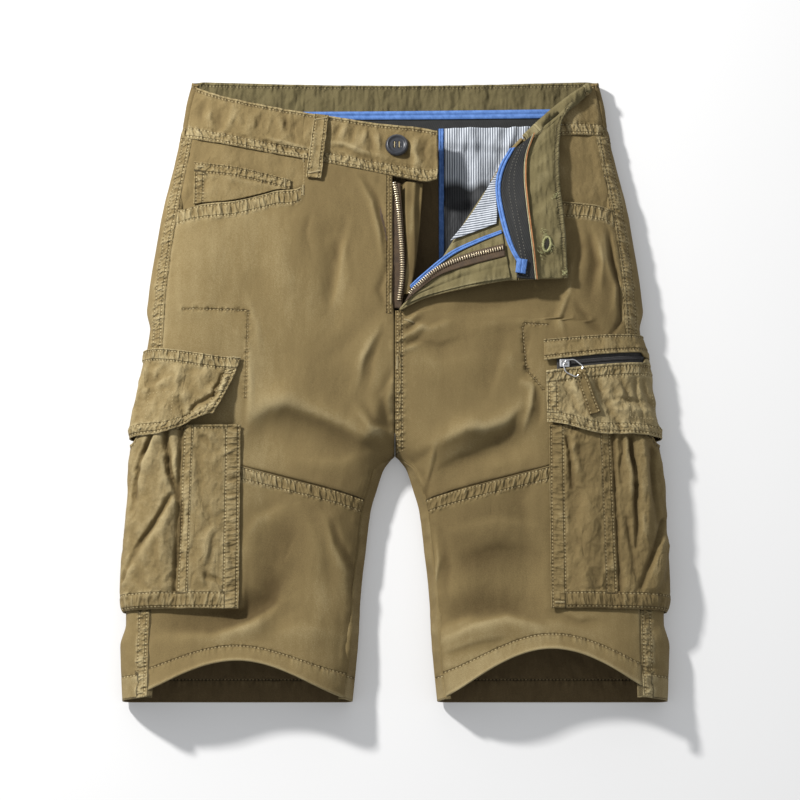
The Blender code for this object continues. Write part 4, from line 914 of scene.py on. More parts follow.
def fade_from(height, strength=0.16):
    """Paler on what stands up and darker in what lies deep: partly worn dye, partly painted light on ridges
    and painted shade in hollows.
    """
    return 0.5 + strength * blurred(height - blurred(height, 14), 2)


# ---- Front panels --------------------------------------------------------------------------------
def across_front(column, y, near=None):
    near = inseam(y) + SEAM / 2 if near is None else near
    far = side_seam(y) - ROUND_SEAM / 2
    line = np.maximum(HIP_INNER, mix(near, far, 0.36))
    return np.where(column < 1, mix(near, line, column), mix(line, far, column - 1))


def fly_level(x):
    return FLY_END - 12 * clamp(x / 200)


def front_upper_y(side, column, row):
    across = across_front(column, mix(-90, 200, row / 3))
    low = knee_seam(across) + SEAM / 2
    fly, hip = fly_level(across), mouth_y(across)
    waist = waist_seam(side * across) - SEAM
    above = np.where(row < 2, mix(fly, hip, row - 1), mix(hip, waist, row - 2))
    return np.where(row < 1, mix(low, fly, row), above)


Patch = namedtuple("Patch", "x y reach rise weight")
SHADE_AND_LIGHT_PATCHES = rows_of(Patch, (
    # patches of painted shade, or of painted light where the weight is over 0
    (-62, -135, 75, 62, -0.14), (82, -128, 85, 66, -0.22), (-120, 120, 60, 90, 0.03),
    (-122, -196, 34, 11, -0.22), (-104, -178, 13, 16, -0.20), (72, -190, 44, 12, -0.16),
    (-92, -142, 26, 32, -0.17), (-50, -140, 14, 30, 0.07), (60, -30, 40, 22, 0.08), (-60, -70, 50, 22, 0.06),
    (70, -150, 28, 18, -0.18), (100, 30, 12, 40, -0.05), (70, 20, 14, 30, 0.05),
    (68, -60, 28, 14, 0.18), (-70, -42, 22, 14, 0.10), (-56, -184, 14, 14, 0.09), (172, -218, 16, 16, 0.10),
    (160, 84, 20, 30, 0.08),
))


def tone_shade_and_light(x, y):
    """The front's tone: a little darker overall and uneven at random, with patches of painted shade and
    painted light, painted shade over its upper part, deepest towards the wearer's left side, and painted
    light low on that side.
    """
    total = (-0.04 - 0.06 * ease((x + 150) / 120) * bell(y - 120, 120) + 0.12 * noise(x / 60, y / 75, 401)
             - 0.04 * ease((x - 40) / 120) * bell(y - 90, 130) + 0.07 * ease(x / 60) * ease((-y - 20) / 80))
    for patch in SHADE_AND_LIGHT_PATCHES:
        total = total + patch.weight * bell(x - patch.x, patch.reach) * bell(y - patch.y, patch.rise)
    return total


def edge_fade(*distances):
    """Paler along edges and seams that rub."""
    return sum(0.14 * bell(d, 2.2) for d in distances)


def seam_fade(x, y):
    """How worn the front is, with shade and light painted on it: its tone, seams and edges that rub, a pale
    line along the hem's edge that is partly wear and partly painted highlight, and painted shade in the
    wrinkles' troughs with painted light on their ridges.
    """
    across = np.abs(x)
    below_knee, below_mouth = knee_seam(x) - y, mouth_y(across) - y
    rise = y - front_hem(x)
    knee = edge_fade(below_knee - 1.5, below_knee - 11.5) + 0.05 * band(below_knee, 0, 12)
    mouth = edge_fade(below_mouth, below_mouth - 13) + 0.06 * band(below_mouth, 0, 14)
    hem = edge_fade(rise) + 0.03 * band(rise, 0, 20, 6) + 0.12 * bell(rise, 1.6)
    return (tone_shade_and_light(x, y) + knee - 0.12 * bell(below_knee + 1.2, 1.0) + mouth * (across > HIP_INNER) + hem
            + edge_fade(across - side_seam(y)) + 0.055 * np.clip(wrinkle_relief(x, y), -3.5, 2.5))


def front_seams(x, y):
    """The sewn strips of the front panels."""
    across = np.abs(x)
    return nearest_seam(
        *(line_seam(x, y, row) for row in BAG_LINES),
        HIP_POCKET_SEAM.rows(mouth_y(across) - y, across, across > HIP_INNER),
        double_seam(knee_seam(x) - y, across, *KNEE_ROWS),
        double_seam(-x - FLY_SET_BACK, y, *FLY_ROWS, (y > FLY_END - 4) & (x < 0), 0.35),
        double_seam(x, y, *CENTRE_ROWS, (y < FLY_END) & (y > CROTCH) & (x > 0)),
        edge_seam(y - front_hem(x) + 21 - hem_depth(x), across, 21, y < CROTCH, 0.5))


def front_right_upper():
    C, R = np.meshgrid(join((0, 1, 56), (1, 2, 72)), join((0, 1, 84), (1, 2, 70), (2, 3, 24)))
    y = front_upper_y(RIGHT, C, R)
    near = inseam(y) + SEAM / 2 + FLY_SET_BACK * ease((y - FLY_END + 12) / 24)
    x = -across_front(C, y, near)
    rise = relief(x, y)
    keep = ~((C[:-1, :-1] >= 1 - 1e-6) & (R[:-1, :-1] >= 2 - 1e-6))
    cloth("front_right_upper", xyz(x, y, top(x, y) + rise), OLIVE, keep=keep, flip=True,
          fade=fade_from(rise) + seam_fade(x, y), sewn=front_seams(x, y), inside=OLIVE_INSIDE)


def front_lower(side):
    C, R = np.meshgrid(join((0, 1, 44), (1, 2, 70)), np.linspace(0, 1, 124))
    across = across_front(C, mix(-90, HEM, R))
    y = mix(knee_seam(across) - SEAM / 2, front_hem(side * across), R)
    x = side * across_front(C, y)
    rise = relief(x, y)
    cloth(f"front_{NAME[side]}_lower", xyz(x, y, top(x, y) + rise), OLIVE, flip=side > 0,
          fade=fade_from(rise) + seam_fade(x, y), sewn=front_seams(x, y), inside=OLIVE_INSIDE)


# ---- Turned-back corner --------------------------------------------------------------------------
HIP_SHARE = (FOLD_HIP - FLY_END) / (FOLD_SEAM - FLY_END)
FLAP, ROLL, BASE = 0, 1, 2    # the turned-back cloth, the round of its fold, the panel below


def fold_x(y):
    return smooth(FOLD_LINE, y)


def fold_outward(y):
    """The direction away from the panel, square to the fold, in plan."""
    return unit(np.stack((np.full_like(y, -8.0), fold_x(y + 4) - fold_x(y - 4)), -1))


def crease(y):
    y = np.asarray(y, dtype=float)
    inward = (TURN_GAP / 2 + CLOTH) / -fold_outward(y)[..., 0]
    return np.stack((fold_x(y) + inward, y), -1)


def turn_gap(x, y):
    beyond = (x - fold_x(y)) * 0.76
    return TURN_GAP + TURN_RISE * ease(beyond / 60) * ease((232 - y) / 120) * (1 - 0.6 * ease((x - 95) / 55))


FLAP_CREASES = rows_of(Fold, (
    (30, 84, 66, 92, 5, -1.0), (60, 88, 96, 92, 4, 0.9), (124, 120, 138, 124, 7, 0.9),
    (128, 160, 142, 166, 8, -0.9), (126, 190, 142, 198, 7, 0.8), (112, 196, 128, 222, 5, -0.7),
    (76, 140, 86, 150, 4, 0.8), (70, 150, 86, 158, 3, -0.7), (108, 150, 116, 170, 4, 0.6),
))


def flap_z(x, y):
    """Height of the turned-back cloth's outer side, which faces down."""
    return top(x, y) + turn_gap(x, y) + fold_relief(x, y, FLAP_CREASES) * 0.8 + 0.4 * noise(x / 16, y / 18, 5)


def flap_height(x, y):
    """Height of the turned-back band's inner side, which faces up."""
    return flap_z(x, y) + BAND + 0.2


def on_flap(plan, up=0.0):
    x, y = parts(plan)
    return xyz(x, y, flap_z(x, y) + up)


def flap_panel(row_share, across_share):
    fold = crease(mix(FLY_END, FOLD_SEAM, row_share))
    a = across_share[..., None]
    straight = mix(fold, through(FLAP_CENTRE, row_share), a)
    seam_line = mix(crease(FOLD_SEAM + 0 * row_share), through(FLAP_CENTRE, 1 + 0 * row_share), a)
    return straight + (through(FLAP_SEAM, across_share) - seam_line) * row_share[..., None] ** 2


def turned_grid(flap_count, roll_count, base, rows):
    """A grid whose columns run over the turned-back cloth, round the fold, then over the panel.

    Gives at each point which of the three it is on (K), its share or angle there (A), and its row (R).
    """
    part = np.repeat((FLAP, ROLL, BASE), (flap_count, roll_count, len(base)))
    at = np.concatenate((np.linspace(1, 0, flap_count), np.linspace(75, -75, roll_count), base))
    A, R = np.meshgrid(at, rows)
    return np.broadcast_to(part, A.shape), A, R


def turned_points(K, A, panel, near, base_z, flap):
    """One grid of the panel, the round of the fold at `near`, and the turned-back cloth."""
    angle = np.radians(np.where(K == ROLL, A, 0.0))
    half = (flap_z(*parts(near)) - base_z) / 2
    plan = near + fold_outward(near[..., 1]) * (half * np.cos(angle))[..., None]
    roll = xyz(*parts(plan), base_z + half + half * np.sin(angle))
    return pick(K == FLAP, flap, pick(K == ROLL, roll, panel))


def front_left_upper():
    rows = join((0, 1, 84), (1, 1.02, 2), (1.02, 1.06, 2), (1.06, 2, 66), (2, 3, 24))
    K, A, R = turned_grid(44, 7, join((0, 1, 50), (1, 2, 72)), rows)
    # rows above the fly's end start at the crease
    y = mix(FLY_END, FOLD_HIP, clamp(R - 1))
    for _ in range(4):
        x = crease(y)[..., 0]
        y = mix(fly_level(x), mouth_y(x), clamp(R - 1))
    near = crease(y)
    column, level = np.where(K == BASE, A, 0.0), np.minimum(R, 2)
    low_y = front_upper_y(LEFT, column, level)
    high_x = mix(near[..., 0], side_seam(low_y) - ROUND_SEAM / 2, column / 2)
    high_y = mix(fly_level(high_x), mouth_y(high_x), level - 1)
    high_x = mix(near[..., 0], side_seam(high_y) - ROUND_SEAM / 2, column / 2)
    x = np.where(R > 1, high_x, across_front(column, low_y))
    y = np.where(R > 1, high_y, low_y)
    rise = relief(x, y)
    share = np.maximum(np.where(R < 2, HIP_SHARE * (R - 1), mix(HIP_SHARE, 1, R - 2)), 0)
    plan = flap_panel(share, np.where(K == FLAP, A, 0.0))
    plan[..., 0] -= ROUND_SEAM * share ** 8
    P = turned_points(K, A, xyz(x, y, top(x, y) + rise), near, skin(*parts(near)), on_flap(plan))
    row = R[:-1, :-1]
    keep = np.where(row < 1, K[:-1, :-1] == BASE, (row < 2 - 1e-6) | (K[:-1, 1:] == FLAP))
    across, along, gather = front_seams(x, y)
    cloth("front_left_upper", P, OLIVE, keep=keep, sewn=(np.where(K == BASE, across, NO_SEAM), along, gather),
          fade=np.where(K == BASE, fade_from(rise) + seam_fade(x, y), 0.55 + 0.10 * (A > 0.93)),
          inside=OLIVE_INSIDE)


def hip_facing(side):
    rows = np.concatenate(([-1.0, -0.5, -0.06], np.linspace(0.06, 1, 26)))
    K, A, R = turned_grid(*((0, 0) if side == RIGHT else (1, 7)), np.linspace(0, 1, 72), rows)
    under = CLOTH + SEAM
    near = crease(mix(FOLD_HIP, FOLD_SEAM - 2, np.maximum(R, 0)))
    near_x = HIP_INNER - 8 if side == RIGHT else near[..., 0]
    column = np.where(K == BASE, A, 0.0)
    x = mix(near_x, side_seam(180.0) - 2, column)
    y = np.where(R >= 0, mix(mouth_y(x), waist_seam(side * x) + ROUND_SEAM, R), mouth_y(x) + HIP_TUCK * R)
    x = mix(near_x, side_seam(y) - ROUND_SEAM / 2, column)
    soft = 0.5 * noise(x / 14, y / 12, 6) - 0.25 + 0.8 * wrinkle_relief(side * x, y)
    z = top(side * x, y) - under + np.where(R > 0, soft - SEAM, -0.4 - ROUND_SEAM)
    z = z + 1.7 * ease((x - side_seam(y) + 11) / 9) * ease((R - 0.05) / 0.15)
    P = xyz(side * x, y, z)
    if side == LEFT:
        P = turned_points(K, A, P, near, top(*parts(near)) - under, on_flap(near))
    # painted light where the facing's wrinkles and bumps stand up and painted shade where they sink
    cloth(f"hip_facing_{NAME[side]}", P, OLIVE, wall=BAG, flip=side < 0, fade=0.44 + 0.1 * soft, crumple=0.4,
          keep=~((K[:-1, :-1] != BASE) & (R[:-1, :-1] < 0.05)))


COIN_OUTER, COIN_INNER = -176, -91


def coin_pocket():
    C, R = grid(64, 30)
    x = mix(COIN_OUTER, COIN_INNER, C)
    foot, head, from_end = mouth_y(-x), smooth(COIN_TOP, x), x - COIN_OUTER
    y = mix(foot + ROUND_SEAM, head, R)
    d = (1 - R) * (head - foot)
    rise = (0.35 + COIN_FOOT_SEAM.relief(d, x) + COIN_END_SEAM.relief(from_end, y)
            + 0.5 * noise(x / 13, y / 11, 8) + 0.7 * bell(y - 181 + 0.2 * (x + 130), 3.0))
    P = xyz(x, y, top(x, y) - CLOTH + 0.9 + np.maximum(rise, -0.3))
    cloth("coin_pocket_right", P, OLIVE, wall=0.9, fade=fade_from(rise, 0.25), crumple=0.5,
          sewn=nearest_seam(COIN_FOOT_SEAM.rows(d, x), COIN_END_SEAM.rows(from_end, y)))


# ---- Back panels ---------------------------------------------------------------------------------
def back_section(y):
    """The back's outer side across one half, from the side seam to its inner edge, at each y.

    A list of places, each (distance from the middle, height).
    """
    edge, start, middle = outer(y), side_seam(y) + ROUND_SEAM / 2, np.maximum(inner(y), 0)
    floor, last = lift(edge, y), 30.0 + middle
    places = [(start - 5, top(start - 5, y) - 2.6)]
    for t in np.linspace(0, 0.97, 18):
        across = mix(start - 0.3, edge, t)
        places.append((across, top(across, y)))
    for angle in np.radians(np.linspace(0, 90, 9)):
        places.append((edge - EDGE + EDGE * cos(angle), floor + EDGE - EDGE * sin(angle)))
    for t in np.linspace(0, 1, 56)[1:]:
        across = mix(edge - EDGE, last, t)
        places.append((across, lift(across, y)))
    leg = ease((CROTCH + CRUMPLE - y) / CRUMPLE)
    for t in np.linspace(0, 0.75, 22)[1:]:
        angle = radians(180 * max(t - 0.25, 0))
        arc_x, arc_z = middle + EDGE - EDGE * sin(angle), EDGE - EDGE * cos(angle)
        if t < 0.25:
            arc_x, arc_z = mix(last, middle + EDGE, t / 0.25), 0.0
        places.append((mix(mix(last, SEAM / 2, t), arc_x, leg), mix(lift(last, y), arc_z, leg)))
    end = np.maximum(inseam(y) - ROUND_SEAM, SEAM / 2)
    end_height = np.where(y < CROTCH - 4, top(end, np.minimum(y, CROTCH)), EDGE)
    before, stop = places[-1], (mix(SEAM / 2, end, leg), mix(lift(last, y), end_height, leg))
    for t in np.linspace(0, 1, 14)[1:]:
        places.append((mix(before[0], stop[0], t), mix(before[1], stop[1], t)))
    places.append((mix(stop[0], stop[0] + 5, leg), mix(stop[1], top(stop[0] + 5, y) - 2.6, leg)))
    return places


def back(side):
    level = join((HEM, -224, 30), (-224, CROTCH - 18, 50), (CROTCH - 18, CROTCH + CRUMPLE, 36),
                 (CROTCH + CRUMPLE, BACK_SEAM, 80))
    first = back_section(level)
    P = np.empty((len(level), len(first), 3))
    for k, (across, _) in enumerate(first):
        under_front_band = 4.2 * clamp((12 - k) / 2)
        drop = (BACK_DROP - under_front_band) * clamp(across / 180) * ease((level - 180) / (BACK_SEAM - 180))
        y = level - drop - SEAM
        across, z = back_section(y)[k]
        P[:, k] = xyz(side * np.maximum(across, SEAM / 2), y, z)
    x, y, z = parts(P)
    across = np.abs(x)
    on_top, under = ease((z - 6) / 6), 1 - ease((z - 0.5) / 5)
    beside, inside, hem = across - side_seam(y), inseam(y) - across, y - HEM
    outer_side = on_top * (across > 60) * (1 - under_pocket(x, y) * ease((y + 215) / 12))
    inner_side = on_top * (across < 60) * ease((CROTCH - y) / 10)
    rise = (outer_side * (BACK_SIDE_SEAM.relief(beside, y) + 0.5 * noise(y / 22, x / 15, 112)
                          + 0.25 * noise(y / 9, z / 9, 113))
            + inner_side * (pucker(y, inside, 8, 0.5, 7.0, 121) + 0.45 * noise(y / 16, z / 12, 122))
            - 0.3 * under * np.abs(noise(x / 24, y / 30, 123))
            + on_top * (0.3 * band(hem, -3, 20) + stitched(hem, 21.0)))
    # painted light where the cloth stands up and painted shade in its hollows, with paler rubbed edges and
    # hem band
    fade = 0.45 + 0.14 * rise + on_top * (edge_fade(beside - 1.5, beside - 9) + 0.10 * band(hem, -2, 20))
    P = P + side * normals_of(P) * rise[..., None]
    P[..., 2] = np.maximum(P[..., 2], 0.0)
    cloth(f"back_{NAME[side]}", P, OLIVE, flip=side < 0, fade=fade, crumple=0.3, inside=OLIVE_BACK_INSIDE_SHADED,
          sewn=nearest_seam(BACK_SIDE_SEAM.rows(np.where(on_top > 0.5, beside, -9), y),
                            edge_seam(hem, across, 19.0)))


# ---- Waistband -----------------------------------------------------------------------------------
BAND_WIDTH, TURNED_BAND_WIDTH = 45.0, 42.0
TAB_END = 37.0                # where the right band's button tab ends
CORNER_DROP = 5.0             # how much lower the band's top is on the front side of its end


def band_relief(along, row, seed, width=BAND_WIDTH):
    """Waistband: puckered strip at its foot, a pressed line over it, soft diagonal wrinkles."""
    d = row * width
    e = width - d
    return (BAND_FOOT_SEAM.relief(d, along, seed) - 0.8 * bell(d - 10.5, 1.4) + 0.5 * bell(e - 1.5, 1.5)
            + stitched(e, 3.0) + pucker(along, e, 7, 0.3, 6.0, seed + 3)
            + 0.6 * noise(along / 15 + d / 26, d / 24, seed + 5) * band(d, 8, width, 12)
            + 0.7 * noise(along / 7 - d / 20, d / 14, seed + 6) + 0.8 * crushed(along, d, seed + 7))


def band_cloth(name, P, along, row, fade, crumple=0.5):
    """A piece of the waistband, with its rubbed edges and its rows of stitches."""
    d, e = row * BAND_WIDTH, (1 - row) * BAND_WIDTH
    cloth(name, P, OLIVE, wall=2.4, crumple=crumple, inside=OLIVE_INSIDE,
          fade=fade + edge_fade(e - 0.5, d - 1, d - 9) + 0.05 * band(d, 0, 10),
          sewn=nearest_seam(BAND_FOOT_SEAM.rows(d, along), edge_seam(e, along, 3.0)))


def waistband_front_right():
    C, R = np.meshgrid(np.linspace(1, 0, 170), np.linspace(0, 1, 36))
    level = mix(waist_seam(-180.0), smooth(WAIST_TOP, -180.0), R)
    x = mix(TAB_END, -(outer(level) - BAND_JOIN - 1.6 * ROUND_SEAM), C)
    y = mix(waist_seam(x), smooth(WAIST_TOP, x), R)
    rise = (band_relief(x, R, 131) + 1.2 * wrinkle_relief(x, y, BAND_WRINKLES)
            + 1.1 * bell(np.hypot(x - 20, (y - 205) / 2.5), 4) - bell(np.hypot(x - 13, (y - 196) / 3), 3)
            + 0.5 * bell(TAB_END - x, 1.5) + stitched(TAB_END - x, 3.2))
    under_loop = 1 - 0.7 * bell(x + 68, 9)
    P = xyz(x, y, top(x, y) + rise * under_loop)
    # painted light where the band's relief stands up and painted shade where it sinks
    band_cloth("waistband_front_right", P, x, R, 0.47 + 0.12 * rise, 0.6)


def waistband_front_left():
    K, A, R = turned_grid(110, 7, np.linspace(0, 1, 24), np.linspace(0, 1, 36))
    fold = crease(mix(FOLD_SEAM, FOLD_TOP, R))
    a, c = np.where(K == FLAP, A, 0.0), np.where(K == BASE, A, 0.0)
    far = a * 150
    turned_rise = band_relief(far, R, 141, TURNED_BAND_WIDTH)
    flap = on_flap(mix(through(FLAP_SEAM, a), through(FLAP_TOP, a), R[..., None]), 0.6 * turned_rise)
    level = mix(waist_seam(180.0), 276, R)
    x = mix(fold[..., 0], outer(level) - BAND_JOIN - 1.6 * ROUND_SEAM, c)
    y = mix(fold[..., 1], mix(waist_seam(x), mix(FOLD_TOP, 276, c), R), clamp(4 * c))
    rise = band_relief(x, R, 145)
    P = turned_points(K, A, xyz(x, y, top(x, y) + rise * ease(3 * c)), fold, top(*parts(fold)), flap)
    # painted light where the band's relief stands up and painted shade where it sinks, on both its parts
    band_cloth("waistband_front_left", P, np.where(K == BASE, x, 3 * far), R,
               np.where(K == BASE, 0.49 + 0.16 * rise, 0.45 + 0.12 * turned_rise))


def waistband_back():
    """From end to end over the back: each half has its top side, the round of its edge, then flat cloth."""
    top_share = np.concatenate(([-1.2], np.linspace(0, 1, 8)[:-1]))
    angles = np.radians(np.linspace(0, 90, 9))
    flat_share = np.linspace(0, 1, 74)[1:]
    first_flat = len(top_share) + len(angles)
    inset = np.concatenate((BAND_JOIN * (1 - top_share), EDGE - EDGE * np.cos(angles), EDGE + 0 * flat_share))
    inward = np.concatenate((np.zeros(first_flat), flat_share))
    height = np.concatenate((-2.9 * (top_share < 0), EDGE - EDGE * np.sin(angles), 0 * flat_share))
    column = np.arange(len(inset))

    def half(y):
        across = (outer(y) - inset) * (1 - inward)
        return across, height + np.where(column < len(top_share), top(across, y), lift(180.0, y))

    row = np.linspace(0, 1, 30)[:, None]
    share = clamp(half(mix(BACK_SEAM, WAIST, row) + 0 * inset)[0] / 180)
    y = mix(BACK_SEAM - BACK_DROP * share, WAIST - WAIST_SAG * np.cos(share * pi / 2), row)
    turned = np.where(column < first_flat, ease(column / (first_flat + 1)), 1)
    y = y - CORNER_DROP * (1 - turned) * row ** 3
    y[:, 0] -= 4 * (1 - row[:, 0])
    across, z = half(y)
    P = np.concatenate((xyz(across, y, z), xyz(-across, y, z)[:, -2::-1]), 1)
    x, _, z = parts(P)
    R = row + 0 * x
    rise = 0.5 * band_relief(x, R, 151)
    rise = np.where(z < 6, np.minimum(rise, 0.3), rise)
    # darker overall, with painted light where the band's relief stands up and painted shade where it sinks
    band_cloth("waistband_back", P + normals_of(P) * rise[..., None], x, R, 0.30 + 0.14 * rise)


# ---- Strips: linings, bindings, tapes ------------------------------------------------------------
def flat_strip(name, first, second, base, up, material, rise, wall=BAG, long=120, wide=12, fade=None,
               **facts):
    """Cloth between two lines, `up` over a surface; rise(x, y, c, r) adds its own shape."""
    C, R = grid(wide + 1, long + 1)
    x, y = parts(mix(through(first, R), through(second, R), C[..., None]))
    z = base(x, y) + up + wall + rise(x, y, C, R)
    cloth(name, xyz(x, y, z), material, wall=wall, fade=fade(x, y, C, R) if fade else 0.5, **facts)


def back_inside(x, y):
    return lift(np.abs(x), y) + CLOTH + 0.2


def band_inside(x, y):
    return 0 * x + LOOP_LIFT + BAND


def cords(x, y, c, r):
    """Two soft strands side by side, as in a folded binding."""
    return 0.7 * np.abs(np.sin(2 * pi * np.clip(c, 0.02, 0.98))) + 0.15 * noise(r * 40, c * 2, 7)


def lining(x, y, c, r):
    return 0.35 * noise(x / 12, y / 9, 161) + 0.15 * noise(x / 5, y / 6, 162) - 0.3 * bell(c - 0.2, 0.05)


def rounded(low, high):
    """A shape that is low at both edges and higher along its middle."""
    return lambda x, y, c, r: low + high * np.sin(pi * c)


def bag_folds(x, y, c, r):
    """A pocket bag's soft upright folds."""
    return 1.5 * (2.2 * bell(x - 96 - 0.25 * (y - 200), 4) + 1.6 * bell(x - 72 + 0.15 * (y - 200), 5)
                  + 1.8 * bell(x - 112 - 0.1 * (y - 200), 5) + 1.2 * bell(x - 58 - 0.3 * (y - 215), 4)
                  + 1.2 * noise(x / 9, y / 22, 171) + 0.6 * noise(x / 5, y / 11, 174)
                  + 1.2 * bell(y - 178 - 0.25 * (x - 90), 5) + 0.9)


def bag_shade(x, y, c, r):
    """Below the bag's foot its stripes lie in the dark."""
    return 0.52 - 0.44 * ease((193 + 4 * noise(x / 11, y / 30, 173) - y) / 12)


def bag_base(x, y):
    """What the back pocket bag lies on: the back, then the curtain's lower edge."""
    seam = BACK_SEAM - BACK_DROP * clamp(np.abs(x) / 180)
    return mix(back_inside(x, y), band_inside(x, y) + SEAM + BAG, ease((y - seam + 16) / 9))


def inside_of_back():
    flat_strip("curtain_back", line((-158, 219), (-79, 226), (0, 231.5), (79, 226), (158, 219)),
               line((-158, 244), (-79, 244.2), (0, 244.5), (79, 245.2), (158, 246)),
               band_inside, SEAM, CHARCOAL, lining, long=150, wide=10, flip=True)
    flat_strip("piping_back", line((-158, 244.6), (0, 245.1), (158, 246.6)),
               line((-158, 252), (0, 253), (158, 255)),
               band_inside, SEAM, BLUE, cords, 1.2, 180, 14, flip=True)
    flat_strip("pocket_bag_back_left", line((43.5, 96), (43.5, 236.5)), line((166, 96), (166, 238)),
               bag_base, SEAM, STRIPES, bag_folds, 0.8, 100, 76, bag_shade)
    flat_strip("bag_binding_back_left", line((38.5, 96), (38.5, 236.5)), line((43.2, 96), (43.2, 236.5)),
               bag_base, SEAM, BLUE, cords, 0.8, 120, 10)


CURTAIN_EDGE = line((105.6, 210), (96.4, 191), (92.4, 171), (95.4, 147), (100.2, 125), (103.8, 105),
                    (105, 88.5))
CURTAIN_FAR = line((120, 222), (113.5, 203), (112, 182), (113.5, 158), (116, 133), (118.5, 110),
                   (120.5, 87.5))
CORD_FAR = line((121.0, 222.8), (114.5, 203.4), (113.0, 182), (114.5, 158), (117.0, 133), (119.5, 110),
                (121.5, 87.5))
EDGING_FAR = line((122.4, 224.1), (115.9, 203.9), (114.4, 182), (115.9, 158), (118.4, 133), (120.9, 110),
                  (122.9, 87.5))


def facing_shape(x, y, c, r):
    return 0.5 * noise(x / 8, y / 12, 181) + 0.7 * bell(c - 0.42, 0.08) - 0.4 * bell(c - 0.3, 0.03) + 0.3


def facing_fade(x, y, c, r):
    return 0.52 + 0.2 * bell(c, 0.05) + 0.1 * noise(x / 9, y / 5, 182)


def inside_of_flap():
    """Pieces on the turned-back corner, whose inner side is up."""
    panel_up, band_up = CLOTH + SEAM, BAND + ROUND_SEAM

    def strip(name, first, second, up, material, *facts, **more):
        flat_strip(name, first, second, flap_z, up, material, *facts, flip=True, **more)

    strip("fly_facing_left", line((9, 68), (30, 76.5), (61, 83.5), (82, 86.5), (99, 88.5)),
          line((15, 81), (27, 91), (50, 110), (72, 121), (93, 129.5)), panel_up, OLIVE_INSIDE,
          facing_shape, BAG, 110, 40, facing_fade)
    strip("fly_binding_left", line((14, 81.7), (26, 92), (49, 111), (71, 121.7), (92.5, 130)),
          line((13, 85), (24, 95.5), (47, 114.5), (69.5, 125.3), (92, 133.5)), panel_up, BLUE,
          lambda x, y, c, r: 0.5 + cords(x, y, c, r), 0.9, 110, 10)
    strip("zip_tape_left", line((8, 68.5), (19, 79), (38, 93), (62, 101), (95, 108.5)),
          line((12, 76.5), (22, 87), (40, 103), (62, 112.5), (94, 120)), panel_up + BAG + SEAM, BROWN_TAPE,
          rounded(0.9, 0.0), 0.8, 110, 8)
    strip("pocket_bag_front_left", line((48, 125), (62, 143), (73, 160), (82, 176), (88, 187)),
          line((88, 139.5), (88.6, 151), (88, 163), (87.6, 176), (89, 188)), panel_up, STRIPES_TURNED,
          lambda x, y, c, r: 0.4 + 0.35 * noise(x / 7, y / 9, 191), 0.8, 60, 40)
    strip("curtain_left", CURTAIN_EDGE, CURTAIN_FAR, band_up, CHARCOAL,
          lambda x, y, c, r: 0.2 + 0.8 * lining(x, y, c, r), BAG, 130, 18)
    strip("curtain_cord", CURTAIN_FAR, CORD_FAR, band_up, WHITE_PIPING, rounded(0.5, 0.6), 0.8, 120, 6,
          in_solids=False)
    strip("curtain_edging", CORD_FAR, EDGING_FAR, band_up, ORANGE_EDGE, rounded(0.3, 0.5), 0.8, 120, 6,
          in_solids=False)
    strip("piping_left", line((100, 209.5), (90.6, 192), (87.2, 172), (90.2, 147), (95.3, 125), (100, 112),
                              (104.5, 103)),
          line((105, 210.5), (95.8, 192), (91.8, 172), (94.8, 147), (99.6, 126), (104, 113), (109, 103.5)),
          band_up, BLUE, cords, 1.2, 160, 14)
    strip("piping_tab_left", line((103.5, 92.5), (105, 105)), line((111.5, 91.5), (113.5, 104)), band_up,
          BLUE, lambda x, y, c, r: 0.8 + 0.5 * np.sin(pi * c) - 0.5 * bell(c - 0.5, 0.08), 1.4, 20, 14)


def shield_base(x, y):
    return top(x, y) - 3.5 * ease(x / 40)


def shield_shape(x, y, c, r):
    ridge = mix(0.90, 0.76, ease((y - 90) / 80))
    return (0.6 * noise(y / 17, c * 3, 201) - 0.6 - 7.0 * ease((ridge - 0.10 - c) / 0.14)
            - 4.0 * ease((c - ridge - 0.06) / 0.12))


# painted shade over the fly shield, a painted highlight along its ridge, and uneven tone
def shield_fade(x, y, c, r):
    return 0.3 + 0.16 * noise(y / 14, c * 4, 202) + 0.24 * bell(c - 0.8, 0.05)


def fly():
    below = -CLOTH - SEAM - BAG
    flat_strip("zip_tape_right", line((-12, 68), (-13, 120), (-13, 184)),
               line((6, 66), (9, 100), (7.5, 138), (4.5, 180)), top, below, BROWN_TAPE,
               lambda x, y, c, r: -0.3 + 0.5 * bell(c - 0.95, 0.06), 0.8, 80, 12)
    flat_strip("fly_shield", line((-16, 76), (-16, 130), (-16, 183)),
               line((13, 80), (18, 105), (21.5, 140), (24.5, 182)), shield_base, below - SEAM - CLOTH, OLIVE,
               shield_shape, BAG, 90, 40, shield_fade)


